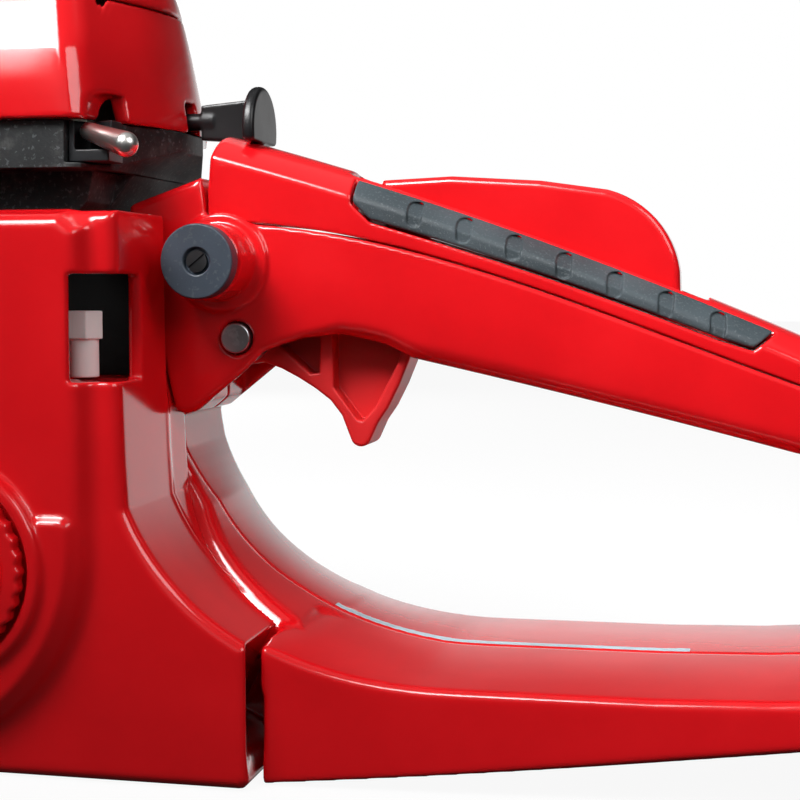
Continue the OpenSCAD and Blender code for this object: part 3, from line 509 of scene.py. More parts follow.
def handle_outline():
    head = [(93, 140), (113, 147), (114.5, 135.4)]
    seam = [(x, seam_z(x) - 0.1) for x in steps(116, 292, 8)]
    rear = [(292.3, 92.4)] + arc(279.6, 65, 30, 64, 0) + arc(301, 30, 9, 0, -80)
    bottom = [(x, guard_z(x)) for x in steps(294, 138, -13)]
    front = [(137, 0), (137, 21)] + corner(10, 60, 0.1) + [(91, 130)]
    return head + seam + rear + bottom + front


# the stretches of the handle that have their own widths, seen from the side
GRIP_ZONE = [(90, 150), (93, 140), (105.6, 88), (111, 79), (254, 70), (254, -5), (330, -5), (330, 150)]
WALL_ZONE = [(80, 10), (80, 104), (101, 104), (102.6, 86), (130, 50), (146, 36), (146, 10)]
LOW_ZONE = [(137, -9), (137, 34.2), (262, 34.2), (330, 25), (330, -9)]
# how the handle widens towards its foot, seen from the front and from the rear
FLARE = [(5, 66), (14, 53), (20, 41), (25, 33), (25, 8), (-9, 8), (-9, 66)]
REAR_FLARE = [(16, 62), (21, 44), (30, 34), (41, 29), (41, -8), (-9, -8), (-9, 62)]
PLUG_AT, PIN_AT, LOCK_AT = (118.3, 125.2), (122.3, 106), (158, 136)
# half widths: the foot to each side, the core, the grip and the hollow inside the grip
GUARD_LEFT, GUARD_RIGHT = 45, 42
CORE_HALF, GRIP_HALF, HOLLOW_HALF = 5, 16, 12.4
PARTING = 0.12  # each shell stops this far from the middle


def handle_widths(X, Y, Z):
    """How far the handle reaches to each side: a thin core, the grip and the flares of its foot."""
    out = np.abs(Y)
    mid = (seam_z(X) + under_z(X)) / 2
    taper = np.clip((mid + 4 - Z) / 16, 0, 1.3) ** 2 * np.clip((X - 128) / 20, 0, 1)
    grip_half = GRIP_HALF - 1.5 * taper
    guard_half = np.where(Y < 0, GUARD_LEFT, GUARD_RIGHT)
    wall = both(side(WALL_ZONE, X, Z), Y - 36 - 6 * np.clip((X - 118) / 26, 0, 1), 2)
    widths = np.minimum(out - CORE_HALF, both(wall, -Y, 0))
    widths = join(widths, both(side(GRIP_ZONE, X, Z), out - grip_half, 1.0), 2.0)
    widths = join(widths, both(end(FLARE, Y, Z), span(X, 85, 142), 0), 4.0)
    widths = join(widths, both(end(REAR_FLARE, Y, Z), span(X, 254.5, 330), 6.0), 6.0)
    return join(widths, both(side(LOW_ZONE, X, Z), out - guard_half, 1.0), 1.5)


def handle_loop(X, Y, Z):
    """The handle with its opening; its edges are sharp along the seam and the foot, round elsewhere."""
    out = np.abs(Y)
    near_seam = np.clip((Z - seam_z(X) + 7) / 5, 0, 1) * np.clip((X - 112) / 2, 0, 1)
    near_foot = np.clip((12 - Z) / 8, 0, 1)
    outline = side(handle_outline(), X, Z)
    loop = both(outline, handle_widths(X, Y, Z), 2.2 - 1.7 * near_seam - 1.0 * near_foot)
    swell = (1.2 + 2.6 * np.clip((175 - X) / 40, 0, 1)) * np.clip((76 - Z) / 14, 0, 1)
    hole = side(hand_opening(), X, Z) + swell * (1 - (np.minimum(out, 44) / 44) ** 2)
    return cut(loop, hole, 2.2 + 2.8 * np.clip((Z - 60) / 20, 0, 1) * np.clip((X - 140) / 15, 0, 1))


def handle_pockets(loop, X, Y, Z):
    """The hollow grip, the plug's boss, and the openings for trigger, throttle wire and screws."""
    roof = [(103, 100), (103, 138), (114, 137)] + [(v, seam_z(v) + 3) for v in steps(118, 286, 24)]
    floor = [(v, under_z(v) + 4) for v in steps(286, 167, -17)]
    front = [(149, 110), (138, 109), (124, 98), (112, 99)]
    loop = cut(loop, both(side(roof + floor + front, X, Z), np.abs(Y) - HOLLOW_HALF), 0.3)
    loop = join(loop, disc_y(X, Y, Z, PLUG_AT, 9.6, -30, -10, 1.2), 1.6)
    ring = both(disc_y(X, Y, Z, PLUG_AT, 12.6, -17.4, -12, 0.8), -disc_y(X, Y, Z, PLUG_AT, 9, -40, 0))
    loop = join(loop, ring, 0.6)
    loop = cut(loop, box3(X, Y, Z, (115, -12.6, 86), (136, 12.6, 116), 1), 0.8)
    loop = cut(loop, box3(X, Y, Z, (133, -7.6, 84), (172, 7.6, 116), 1), 0.8)
    loop = cut(loop, box3(X, Y, Z, (84, -3, 118), (113, 3, 138), 0.6), 0.4)
    for screw_x in (182, 245):
        loop = cut(loop, disc_y(X, Y, Z, (screw_x, seam_z(screw_x) - 9), 4.6, 14.8, 30, 0.2), 0.4)
    return loop


def make_handle():
    """Two shells that meet in the middle, and the label strip let into the loop's floor."""
    h, lo, hi = 0.8, (86, -48, -3), (307, 45, 151)
    X, Y, Z = open_grid(lo, hi, h)
    loop = handle_pockets(handle_loop(X, Y, Z), X, Y, Z)
    left = both(loop, Y + PARTING, 0.5)
    left = cut(left, disc_y(X, Y, Z, PIN_AT, 4.3, -30, 0), 0.4)
    right = both(cut(loop, disc_y(X, Y, Z, PIN_AT, 4.2, 0, 20)), PARTING - Y, 0.5)
    y = Y[0, :, 0]
    left_end, right_start = np.searchsorted(y, 3.0), np.searchsorted(y, -3.0)
    right_lo = (lo[0], y[right_start], lo[2])
    strip = both(loop - 0.12, box3(X, Y, Z, (143, 0.9, 22), (237, 5.2, 42), 0.4), 0.1)
    skin("blank_label_strip", strip[:, right_start:], right_lo, h, "pale_film", "saw")
    skin("handle_left_half", left[:, :left_end], lo, h, "red_plastic", "saw", ("handle_shell_left",))
    skin("handle_right_half", right[:, right_start:], right_lo, h, "red_plastic", "saw",
         ("handle_shell_right",))


def cover_field(X, Y, Z):
    """The handle's top cover, solid, before its pockets."""
    drop = 6.2 * np.clip(np.abs(Y) / 15.0, 0, 1.2) ** 2.4
    top = (Z - top_z(X) + drop) * 0.93
    seam = (seam_z(X) + 0.25 - Z) * 0.98
    half = 15.0 + 0.25 * np.clip((Z - seam_z(X)) / 14, 0, 1)
    body = both(both(top, np.abs(Y) - half, 0.7), seam, 0.4)
    ends = np.maximum(np.maximum(114.4 - X, X - 292.2), 113.6 + 0.1 * (Z - 136) - X)
    return both(body, ends, 1.4)


def pad_outline(grow):
    """A grip pad from the side, moved out by grow; its top runs above the cover."""
    front, rear = 152.5 - grow, 256 + grow
    top = [(v, top_z(v) + 14) for v in steps(front, rear, 11.4)]
    tail = [(rear, top_z(256) - 2), (251, top_z(251) - 8 - grow)]
    bottom = [(v, top_z(v) - 11 + 0.025 * (v - 158) - grow) for v in steps(243, 165, -6.5)]
    return top + tail + bottom + [(157, top_z(157) - 11 - grow), (front, top_z(152.5) - 8)]


def make_cover():
    """The handle's top cover, with seats for the pads and a slot for the lock."""
    h, lo, hi = 0.7, (111, -17, 82), (295, 17, 161)
    X, Y, Z = open_grid(lo, hi, h)
    pad_seats = both(side(pad_outline(0), X, Z) - 0.45, 8.4 - np.abs(Y), 0.2)
    shell = cut(cover_field(X, Y, Z), pad_seats, 0.25)
    inner = np.maximum(np.maximum(np.abs(Y) - 8.2, Z - top_z(X) + 5.0), np.maximum(118 - X, X - 288))
    shell = cut(shell, inner, 0.3)
    lock_slot = both(np.maximum(150 - X, X - 240), np.abs(Y) - 6.6, 2.0)
    skin("handle_top_cover", cut(shell, lock_slot, 0.7), lo, h, "red_plastic", "saw", ("handle_cover",))


WELLS, WELL_START, WELL_PITCH, WELL_HALF = 7, 168.3, 12.4, 1.8


def make_pad(part, y0, y1):
    """A rubber pad with a row of shallow wells; each well is deepest along its far side."""
    h, lo, hi = 0.4, (150.5, y0, 92), (258, y1, 150)
    X, Y, Z = open_grid(lo, hi, h)
    cover = cover_field(X, Y, Z)
    pad = both(cover - 0.15, both(side(pad_outline(-0.2), X, Z), 8.9 - np.abs(Y), 0.3), 0.7)
    for i in range(WELLS):
        c = WELL_START + WELL_PITCH * i
        from_near = X - c + WELL_HALF
        well = box3(X, 0, Z, (c - WELL_HALF, -9, top_z(c) - 9.0), (c + WELL_HALF, 9, top_z(c) - 2.7), 1.4)
        depth = 0.55 + 0.5 * np.clip(from_near / (2 * WELL_HALF), 0, 1)
        pad = cut(pad, both(well, -(cover + depth), 0.1), 0.15)
    skin("grip_pad_rubber_" + part, pad, lo, h, "grip_rubber", "saw", ("grip_pad_" + part,))


def make_lock():
    """The throttle lock: a thumb lever with a round hump, on its own pin."""
    h, lo, hi = 0.5, (151, -8, 108), (237, 8, 150)
    X, Y, Z = open_grid(lo, hi, h)
    line = ([(156, 132), (158, 146.2), (176, 147), (198.6, 145.6)] + arc(209, 119.5, 24.5, 75, 8, 12)
            + [(233.6, 113.5), (226, 113.5), (205, 122.5), (178, 131.5)])
    body = both(side(line, X, Z), np.abs(Y) - 6, 1.9)
    body = join(body, disc_y(X, Y, Z, LOCK_AT, 4.4, -6, 6, 0.6), 1.0)
    body = cut(body, disc_y(X, Y, Z, LOCK_AT, 2.1, -9, 9))
    skin("throttle_lock_lever", body, lo, h, "red_plastic", "lock", ("throttle_lock",))


def make_trigger():
    """A finger lever with a rounded beak, and two pockets in each side that leave a web between them."""
    h, lo, hi = 0.35, (113, -8, 76), (170, 8, 115)
    X, Y, Z = open_grid(lo, hi, h)
    front = [(118, 101.5), (126.5, 99.6), (131.5, 97.9), (136, 95.6), (140.6, 92.8), (144.6, 89.8),
             (147.6, 86)]
    rear = [(157.2, 84.2), (159.8, 88), (162.8, 94), (165.4, 100.4), (168, 108)]
    root = [(167, 112), (130, 113), (120, 112)]
    body = both(side(front + arc(152.6, 80.6, 2.7, 195, 335, 8) + rear + root, X, Z), np.abs(Y) - 7, 0.9)
    body = join(body, disc_y(X, Y, Z, PIN_AT, 7.2, -7, 7, 0.6), 1.0)
    front_pocket = side([(131, 104), (142, 108.6), (141.7, 97), (139.4, 96.6)], X, Z)
    rear_pocket = side([(145.3, 109), (165, 109), (162.4, 99.6), (156.6, 88.4), (153.2, 84.6), (151.8, 84.9),
                        (145.5, 93.2)], X, Z)
    pockets = both(np.minimum(front_pocket, rear_pocket) + 0.5, 2 - np.abs(Y)) - 0.5
    body = cut(body, pockets, 0.6)
    body = cut(body, disc_y(X, Y, Z, PIN_AT, 4.0, -9, 9))
    skin("throttle_trigger_lever", body, lo, h, "red_trigger", "trigger", ("throttle_trigger",))


def make_toggle():
    """The stop switch's lever, thicker at its tip."""
    h, lo, hi = 0.3, (88, -56, 146), (113, -36, 162)
    X, Y, Z = open_grid(lo, hi, h)
    lever = capsule(X, Y, Z, (93.6, -41.0, 156.4), (105.8, -48.2, 152.5), 2.2, 3.05)
    skin("stop_toggle", lever, lo, h, "chrome_steel", "stop_lever", ("stop_switch_lever",))


def make_choke_knob():
    """A round rod, a flat web and a round face with its foot cut off."""
    h, lo, hi = 0.4, (84, -15, 146), (130, 15, 176)
    X, Y, Z = open_grid(lo, hi, h)
    rod = both(np.sqrt(Y ** 2 + (Z - 162.5) ** 2) - 2.2, span(X, 86, 112), 0.4)
    web = side([(108.4, 157.6), (124, 156.6), (124, 168.0), (108.4, 166.6)], X, Z)
    knob = join(rod, both(web, np.abs(Y) - 1.9, 0.6), 0.8)
    face = both(np.sqrt(Y ** 2 + (Z - 160) ** 2) - 11.2, span(X, 122.4, 125.6), 1.2)
    face = both(face, 156.6 - Z, 0.8)
    skin("choke_pull", join(knob, face, 1.6), lo, h, "gloss_black_plastic", "choke", ("choke_knob",))


CAP_AT = (61, 52)
TANK_FRONT, TANK_END, TANK_TOP = 30, 136, 137
TANK_NEAR, TANK_FAR = -52, 34


def panel(inset):
    """The raised panel on the tank's near side: round under the fuel cap, straight above it."""
    round_end = arc(44, 58, 53 - inset, -65, 0, 20)
    return [(30, 3 + inset), (52, 3 + inset)] + round_end + [(97 - inset, 132.5), (92, 136.2), (30, 136.2)]


def tank_solid(X, Y, Z):
    """Three slabs side by side, each with its own rear line, and the raised panel with its rib."""
    foot, top = [(TANK_FRONT, 0), (134, 0), (TANK_END, 2)], [(TANK_FRONT, TANK_TOP)]
    near = foot + [(TANK_END, 34.4)] + corner(0, 52, 21)
    outer = side(near + [(105.2, 78), (104.6, 97), (104.2, TANK_TOP)] + top, X, Z)
    middle = side(near + [(105, 78), (104.6, 89), (102.8, 97), (91, 97), (91, TANK_TOP)] + top, X, Z)
    inner = side(foot + [(TANK_END, 21.5)] + corner(10.6, 59, 2.5) + [(90.4, TANK_TOP)] + top, X, Z)
    tank = both(outer, np.maximum(TANK_NEAR - Y, Y + 16.5), 3.2)
    tank = join(tank, both(middle, span(Y, -20, -5.4), 0.5), 1.0)
    tank = join(tank, both(inner, span(Y, -8, TANK_FAR), 1.5), 1.0)
    tank = join(tank, both(side(panel(0), X, Z), span(Y, -57, -48), 3.6), 3.4)
    rib = cut(side(panel(3), X, Z), side(panel(12), X, Z), 0)
    rib = both(rib, np.maximum(Z - 64, 46 - X), 2.4)
    tank = join(tank, both(rib, span(Y, -58.6, -55), 1.5), 2.0)
    tank = join(tank, disc_y(X, Y, Z, CAP_AT, 27, -61, -50, 1.6), 1.4)
    return both(tank, 34.2 - X, 1.0)


def lean_back(tank, X, Y, Z):
    """The foot's end wall leans away from its near edge, behind the hand guard."""
    lean = np.minimum(0.36 * np.maximum(Y + 51.6, 0), 0.55 * np.maximum(36.0 - Z, 0))
    lean = lean * np.clip((Z - 1) / 8, 0, 1)
    end_wall = np.where((Y < -8) & (Z < 36.4), X - 135.6 + lean, -9).astype(np.float32)
    return both(tank, end_wall, 0.3)


def handle_seat(X, Y, Z):
    """Room for the handle's front wall."""
    shape = np.minimum(end([(a + 0.5, b) for a, b in FLARE], Y, Z), np.abs(Y) - 5.4)
    shape = both(shape, np.maximum(85 - X, Y - 1))
    return both(shape, side([(150, 70), (150, 8), (134.6, 12)] + corner(10.4, 59, 12), X, Z))


def make_tank():
    """The tank unit, with its window, and a near-black sheet behind the window: painted shade for the dark
    hollow there.
    """
    h, lo, hi = 0.7, (32, -63, -1), (138, 36, 139)
    X, Y, Z = open_grid(lo, hi, h)
    tank = lean_back(tank_solid(X, Y, Z), X, Y, Z)
    tank = cut(tank, handle_seat(X, Y, Z), 0.3)
    # the box over the fuel chamber, then the window that shows the vent and the room behind it
    tank = cut(tank, box3(X, Y, Z, (37, -49, 95), (87.4, 31, 150), 1.5), 0.8)
    tank = cut(tank, box3(X, Y, Z, (78, -49, 96.5), (101, -19.5, 134), 1.0), 0.3)
    tank = cut(tank, box3(X, Y, Z, (72, -54.4, 97), (95.4, -40, 133), 0.6), 0.3)
    tank = cut(tank, box3(X, Y, Z, (84, -8, 129), (96, 4, 142), 0.5), 0.3)
    tank = cut(tank, box3(X, Y, Z, (94, -72, 96.5), (122, -36, 122), 0.8), 0.7)
    # the fuel cap's seat and neck
    tank = cut(tank, disc_y(X, Y, Z, CAP_AT, 23.7, -70, -57.5, 0.5), 0.7)
    tank = cut(tank, disc_y(X, Y, Z, CAP_AT, 16.05, -70, -40, 0.3), 0.4)
    skin("fuel_tank_body", tank, lo, h, "red_plastic", "saw", ("fuel_tank",))
    # painted shade: a near-black sheet behind the window stands in for the shade inside the hollow, and hides
    # the red wall there
    painted_shade_sheet = box3(X, Y, Z, (77, -23, 96.2), (100.4, -19, 134.2), 0.4)
    skin("vent_recess_painted_shade", painted_shade_sheet, lo, h, "painted_shade_black", "saw")


def make_fuel_cap():
    """A screw cap with a fluted rim and a bar across it."""
    h, lo, hi = 0.5, (37, -69, 28), (85, -46, 76)
    X, Y, Z = open_grid(lo, hi, h)
    cx, cz = CAP_AT
    flutes = 0.35 * np.cos(np.arctan2(Z - cz, X - cx) * 36)
    cap = both(np.sqrt((X - cx) ** 2 + (Z - cz) ** 2) - 22.5 - flutes, span(Y, -63, -58.6), 0.9)
    cap = join(cap, disc_y(X, Y, Z, CAP_AT, 15.9, -60, -48, 0.4), 0.4)
    cap = cut(cap, disc_y(X, Y, Z, CAP_AT, 18.4, -66, -62.2, 0.4), 0.6)
    cap = join(cap, box3(X, Y, Z, (cx - 16, -67, cz - 3.5), (cx + 16, -60, cz + 3.5), 1.6), 1.2)
    cap = cut(cap, disc_y(X, Y, Z, CAP_AT, 12.5, -56, -40, 0.3), 0.3)
    skin("fuel_cap_screw", cap, lo, h, "red_plastic", "cap_fuel", ("fuel_cap",))


def cover_plan(front, nose, half):
    """The engine cover from above: square at the front, drawn in to a blunt nose at the rear."""
    near = [(front, -half + 8), (front + 8, -half), (nose - 16.3, -half), (nose - 12, -half + 2.6),
            (nose, -8)]
    return near + [(x, -y) for x, y in reversed(near)]


def loft_planes(X, Y, Z, low, high, z0, z1, radii):
    """The convex solid between two plans at z0 and z1; radii round each side's edge to the one before."""
    out = None
    for i, r in enumerate(radii):
        a, b = Vector((*low[i], z0)), Vector((*low[(i + 1) % len(low)], z0))
        c = Vector((*high[i], z1))
        plane = half_space(X, Y, Z, a, (b - a).cross(c - a))
        out = plane if out is None else both(out, plane, r)
    return out


HEM, WAIST, DECK, CROWN = 159.3, 177, 190.5, 223  # the engine cover's levels, upwards
DECK_EDGE, PIVOT_AT = 19.8, (-46, 181)


def engine_cover_solid(X, Y, Z):
    """Skirt, shoulder and crown; behind the deck's edge only the deck is left, where the lid sits."""
    radii = (5, 5, 0.9, 3, 5, 3, 0.9, 5, 5, 5)
    hem, waist = cover_plan(-58, 106.8, 47.5), cover_plan(-58, 104.2, 46.5)
    deck = cover_plan(-58, 101.4, 40)
    body = loft_planes(X, Y, Z, hem, waist, HEM, WAIST, radii)
    body = both(body, loft_planes(X, Y, Z, waist, deck, WAIST, DECK, radii), 1.2)
    body = both(body, loft_planes(X, Y, Z, deck, cover_plan(-34, 92, 27), DECK, CROWN, radii), 3.0)
    body = both(body, HEM - Z, 0.6)
    tall = both(both(body, Z - CROWN, 4.0), X - DECK_EDGE, 2.0)
    return np.minimum(both(body, Z - DECK, 0.8), tall)


def engine_cover_hollow(X, Y, Z):
    """The room for the engine: one under the deck, one under the crown."""
    rounds = (2,) * 10
    low, high = cover_plan(-55, 103.6, 44.5), cover_plan(-55, 98.6, 38.5)
    skirt = loft_planes(X, Y, Z, low, high, 158.3, 187.5, rounds)
    low, high = cover_plan(-55, 98.4, 37), cover_plan(-31, 89, 24)
    attic = loft_planes(X, Y, Z, low, high, 187.4, 220, rounds)
    attic = np.maximum(np.maximum(attic, Z - 220), np.maximum(X - 17, 187 - Z))
    return np.minimum(np.maximum(skirt, Z - 187.5), attic)


def make_engine_cover():
    """The engine's top cover, open below."""
    h, lo, hi = 0.7, (-60, -53, 158), (109, 53, 225)
    X, Y, Z = open_grid(lo, hi, h)
    body = cut(engine_cover_solid(X, Y, Z), engine_cover_hollow(X, Y, Z), 0.3)
    body = cut(body, box3(X, Y, Z, (20, -31, 180), (92, 31, 200), 3), 0.6)
    # the notches over the stop switch and the choke rod, then the vents and the brake guard's pivots
    arch = np.sqrt((X - 96.6) ** 2 + np.maximum(Z - 163.4, 0) ** 2) - 2.6
    body = cut(body, both(arch, Y + 30), 0.9)
    body = cut(body, box3(X, Y, Z, (97.5, -3.2, 150), (120, 3.2, 167.4), 0.8), 0.5)
    for i in range(4):
        slot = box3(X, np.abs(Y), Z, (-26 + i * 12, 30, 164), (-19 + i * 12, 60, 184), 2.0)
        body = cut(body, slot, 0.8)
    for sign in (-1, 1):
        body = join(body, disc_y(X, sign * Y, Z, PIVOT_AT, 6.5, 36, 50.5, 0.8), 1.0)
        body = cut(body, disc_y(X, sign * Y, Z, PIVOT_AT, 3.5, 30, 60), 0.2)
    skin("engine_top_cover", body, lo, h, "red_plastic", "saw", ("engine_cover",))


KNOB_AT = (60, 0)


def make_lid():
    """The air filter's lid, hollow, with a seat for its knob."""
    h, lo, hi = 0.7, (19, -41, 189), (103, 41, 221)
    X, Y, Z = open_grid(lo, hi, h)
    low = [(20.4, -39.6), (88, -39.6), (89.2, -37), (101, -8)]
    low += [(x, -y) for x, y in reversed(low)]
    mid = [(20.4, -32), (84, -32), (86, -30), (94, -8)]
    mid += [(x, -y) for x, y in reversed(mid)]
    drawn_in = [(x, y * 0.985) for x, y in low]
    body = loft_planes(X, Y, Z, low, drawn_in, 190.8, 194.8, (1, 1, 3, 4, 3, 1, 1, 1))
    body = both(body, loft_planes(X, Y, Z, low, mid, 193.5, 209, (2, 2, 5, 6, 5, 2, 2, 2)), 3.0)
    body = both(both(body, Z - 219, 7.0), 190.85 - Z, 0.5)
    body = cut(body, box3(X, Y, Z, (23.4, -28, 180), (84, 28, 212), 5), 0.4)
    body = cut(body, disc_z(X, Y, Z, KNOB_AT, 14.5, 217.6, 230, 0.5), 0.6)
    body = cut(body, disc_z(X, Y, Z, KNOB_AT, 3.2, 200, 230))
    for sign in (-1, 1):
        for y in (22.5, 16.5):
            body = cut(body, box3(X, sign * Y, Z, (26, y, 217.8), (44, y + 2, 222), 0.8), 0.5)
    skin("filter_lid_shell", body, lo, h, "red_plastic", "lid", ("filter_lid",))


make_handle()
make_cover()
make_pad("left", -16.4, -7.6)
make_pad("right", 7.6, 16.4)
make_lock()
make_trigger()
make_toggle()
make_choke_knob()
make_tank()
make_fuel_cap()
make_engine_cover()
make_lid()


# ---------------------------------------------------------------- CAD pieces that keep their shape

def smooth(mesh):
    mesh.polygons.foreach_set("use_smooth", [True] * len(mesh.polygons))


def bevelled(obj, width):
    """Rounds a CAD node's sharp edges to a width in mm, without touching its mesh."""
    weld = obj.modifiers.new("weld", "WELD")
    weld.merge_threshold = 0.01 * MM
    flat = obj.modifiers.new("flat", "DECIMATE")
    flat.decimate_type = "DISSOLVE"
    flat.angle_limit = math.radians(0.4)
    bev = obj.modifiers.new("bevel", "BEVEL")
    bev.width = width * MM
    bev.segments = 2
    bev.limit_method = "ANGLE"
    bev.angle_limit = math.radians(32)
    bev.use_clamp_overlap = True
    bev.miter_outer = "MITER_ARC"
    even = obj.modifiers.new("even", "WEIGHTED_NORMAL")
    even.keep_sharp = True
    even.weight = 60


# the width of each CAD node's bevel, in mm
BEVEL = {"filter_base": 0.7, "stop_switch_body": 0.5, "av_plug": 0.5, "trigger_pin": 0.5,
         "crankcase_left": 1.0, "crankcase_right": 1.0, "cylinder": 0.4, "muffler": 0.8, "starter_cover": 1.0,
         "clutch_cover": 1.0, "lid_knob": 0.8, "flywheel": 0.4, "brake_guard": 0.8, "handle_bracket": 0.9,
         "oil_cap": 0.6, "starter_grip": 0.8, "spiked_bumper": 0.4, "tank_vent": 0.3, "carburettor": 0.6,
         "bar_nuts": 0.4, "starter_pulley": 0.3, "clutch_hub": 0.4, "clutch_drum": 0.3, "ignition_coil": 0.5,
         "plug_boot": 0.6, "spark_plug": 0.3, "nose_sprocket": 0.12, "guide_bar": 0.25, "intake_boot": 0.6}
# the one node whose finish isn't its slot's
PAINT = {"av_plug": "plug_rubber"}


def finish_cad():
    """Paints every CAD node that still shows, and rounds the edges of those in BEVEL."""
    for name, obj in NODES.items():
        if obj.hide_render:
            continue
        dress(obj, PAINT.get(name, SLOT[name]))
        smooth(obj.data)
        if name in BEVEL:
            bevelled(obj, BEVEL[name])


# ---------------------------------------------------------------- saw chain

CHAIN_Y = 44.5
PITCH = 9.525  # from one rivet to the next
RIVET_OFF = 4.76  # from a link's middle
STRAP_IN, STRAP_OUT = 1.05, 2.15  # a strap's faces, from the chain's middle
BAR_Z = 74.0
NOSE_X, NOSE_R = -532.0, 28.6
DRUM_X, DRUM_R = -16, 18.4
# half the chain's spread on its way from the nose to the drum, at places along X
RAIL = [(NOSE_X + 60, 31.2), (-260, 32.7), (-120, 29.9), (-70, 25.0), (-45, 20.4), (-25, 18.8)]


def chain_route(step):
    """The chain's line round the bar's rails and the drum's sprocket: points in X and Z, and its length."""
    lo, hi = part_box("saw_chain")
    route = [(NOSE_X + NOSE_R * math.cos(math.radians(a)), BAR_Z + NOSE_R * math.sin(math.radians(a)))
             for a in range(90, 271, 4)]
    route += [(x, BAR_Z - off) for x, off in RAIL]
    route += [(DRUM_X + DRUM_R * math.cos(math.radians(a)), BAR_Z + DRUM_R * math.sin(math.radians(a)))
              for a in range(-88, 89, 8)]
    route += [(x, BAR_Z + off) for x, off in reversed(RAIL)]
    pts = np.array(route + [route[0]])
    pts[:, 0] = np.clip(pts[:, 0], lo.x / MM + 1.2, hi.x / MM - 1.2)
    run = np.concatenate([[0], np.cumsum(np.linalg.norm(np.diff(pts, axis=0), axis=1))])
    at = np.linspace(0, run[-1], int(run[-1] / step), endpoint=False)
    return np.stack([np.interp(at, run, pts[:, 0]), np.interp(at, run, pts[:, 1])], 1), run[-1]


def face_outwards(mesh):
    """Turns every face's normal to the outside."""
    bm = bmesh.new()
    bm.from_mesh(mesh)
    bmesh.ops.recalc_face_normals(bm, faces=bm.faces)
    bm.to_mesh(mesh)
    bm.free()


def plate(outline, y0, y1, chamfer=0.18):
    """A flat link plate in the XZ plane with chamfered rims: vertices and faces."""
    mid = np.mean(outline, axis=0)
    verts, rings = [], []
    for y, inset in ((y0, chamfer), (y0 + chamfer, 0), (y1 - chamfer, 0), (y1, chamfer)):
        ring = []
        for p in outline:
            d = np.array(p) - mid
            q = np.array(p) - d / max(np.linalg.norm(d), 1e-6) * inset
            ring.append(len(verts))
            verts.append((q[0], y, q[1]))
        rings.append(ring)
    n = len(outline)
    faces = [tuple(rings[0]), tuple(reversed(rings[-1]))]
    for a, b in zip(rings, rings[1:]):
        faces += [(a[i], b[i], b[(i + 1) % n], a[(i + 1) % n]) for i in range(n)]
    return verts, faces


def merged(parts):
    """Several shapes' vertices and faces as one shape's."""
    verts, faces = [], []
    for v, f in parts:
        k = len(verts)
        verts += list(v)
        faces += [tuple(i + k for i in face) for face in f]
    return verts, faces


def rivet(x):
    """A pin through all the plates, with chamfered heads."""
    return plate(arc(x, 0, 1.15, 0, 324, 9), -2.45, 2.45, 0.3)


def link_shapes():
    """Drive link, tie strap and cutter, each about its middle between two rivets, outwards along +Z."""
    p = RIVET_OFF
    drive = [(-p - 2.0, 0.4), (-p - 1.2, 1.9), (p + 1.2, 1.9), (p + 2.0, 0.4), (p + 1.2, -1.6), (2.6, -2.4),
             (1.2, -5.0), (-1.6, -5.2), (-3.2, -2.4), (-p - 1.2, -1.6)]
    strap = arc(-p, 0, 2.2, 90, 270, 5) + [(0, -1.5)] + arc(p, 0, 2.2, -90, 90, 5) + [(0, 1.5)]
    depth_gauge = [(p + 2.1, -1.2), (p + 2.3, 2.4), (p + 1.2, 3.6), (p - 0.6, 3.4), (1.9, 1.6)]
    tooth = [(-0.2, 2.4), (-1.2, 4.2), (-p - 1.6, 4.0), (-p - 2.3, 0.5)]
    return drive, strap, [(-p - 2.1, -1.4), (-p, -2.2), (p, -2.2)] + depth_gauge + tooth


def cutter(side_sign, strap, wall):
    """A cutter with its blade folded over the chain, and the strap on the other side."""
    plates = [plate(wall, *sorted((side_sign * STRAP_IN, side_sign * STRAP_OUT)))]
    top = [(-6.6, 3.55), (-1.0, 4.25), (-1.2, 4.85), (-6.4, 4.2)]
    plates.append(plate(top, *sorted((side_sign * 2.15, side_sign * -2.1)), 0.12))
    plates.append(plate(strap, *sorted((side_sign * -STRAP_IN, side_sign * -STRAP_OUT))))
    return plates


def placed(shapes, a, b):
    """Link shapes moved to lie between the rivets at a and b."""
    along = (b - a) / np.linalg.norm(b - a)
    outwards = np.array([along[1], -along[0]])
    mid = (a + b) / 2
    for verts, faces in shapes:
        flat = [mid + along * x + outwards * z for x, _, z in verts]
        yield [(q[0], CHAIN_Y + v[1], q[1]) for q, v in zip(flat, verts)], faces


def link_mesh(name, parts, mat, stands_for=()):
    """One piece of the chain, from many links."""
    verts, faces = merged(parts)
    mesh = bpy.data.meshes.new(name)
    mesh.from_pydata([(x * MM, y * MM, z * MM) for x, y, z in verts], [], faces)
    face_outwards(mesh)
    place(link(bpy.data.objects.new(name, mesh)), mat, "saw", stands_for)


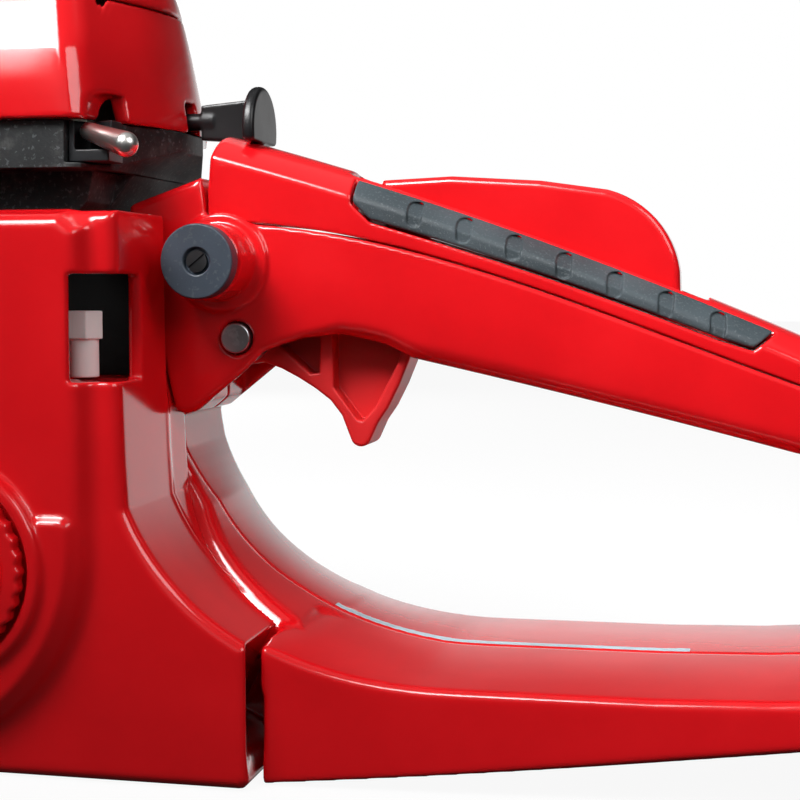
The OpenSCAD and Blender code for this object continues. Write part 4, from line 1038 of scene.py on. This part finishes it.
def make_chain():
    """Drive links and ties in turn; every other tie is a cutter, to the left and to the right in turn."""
    route, length = chain_route(0.5)
    count = int(round(length / PITCH / 4)) * 4
    run = np.linspace(0, length, len(route), endpoint=False)
    at = np.arange(count) * length / count
    rivets = np.stack([np.interp(at, run, route[:, i], period=length) for i in (0, 1)], 1)
    drive, strap, wall = link_shapes()
    clipped = [(x, max(z, -1.3)) for x, z in drive]
    seated = clipped[:5] + clipped[-1:]  # on the sprocket, where the tang sits between two teeth
    steel, blades = [], []
    for i, (a, b) in enumerate(zip(rivets, np.roll(rivets, -1, 0))):
        if i % 2 == 0:
            near_drum = math.hypot(a[0] - DRUM_X, a[1] - BAR_Z) < 24
            tang = plate(seated if near_drum else drive, -0.68, 0.68)
            steel += placed([tang, rivet(-RIVET_OFF), rivet(RIVET_OFF)], a, b)
        elif i % 4 == 1:
            steel += placed([plate(strap, -STRAP_OUT, -STRAP_IN), plate(strap, STRAP_IN, STRAP_OUT)], a, b)
        else:
            blades += placed(cutter(1 if i % 8 == 3 else -1, strap, wall), a, b)
    link_mesh("chain_links", steel, "chain_steel", ("saw_chain",))
    link_mesh("chain_cutters", blades, "cutter_steel")


def make_rope():
    """The starter rope, three strands twisted; it stretches from its outlet to the grip."""
    lo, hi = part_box("starter_rope")
    cx, cy, r = (lo.x + hi.x) / 2, (lo.y + hi.y) / 2, (hi.x - lo.x) / 2
    rings, sides, lay = 121, 24, 5.0 * MM  # lay is the length of one full twist
    verts = []
    for k in range(rings):
        z = lo.z + (hi.z - lo.z) * k / (rings - 1)
        for i in range(sides):
            a = 2 * math.pi * i / sides
            strand = abs(math.cos(1.5 * (a - 2 * math.pi * z / lay))) ** 0.6
            q = r * (0.8 + 0.2 * strand)
            verts.append((cx + q * math.cos(a), cy + q * math.sin(a), z))
    faces = []
    for k in range(rings - 1):
        for i in range(sides):
            here, there, j = k * sides, (k + 1) * sides, (i + 1) % sides
            faces.append((here + i, here + j, there + j, there + i))
    faces += [tuple(range(sides))[::-1], tuple(range((rings - 1) * sides, rings * sides))]
    mesh = bpy.data.meshes.new("starter_rope_twist")
    mesh.from_pydata(verts, [], faces)
    smooth(mesh)
    rope = link(bpy.data.objects.new("starter_rope_twist", mesh))
    dress(rope, "rope_fibre")
    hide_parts("starter_rope")
    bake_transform(rope)


make_chain()
make_rope()
finish_cad()
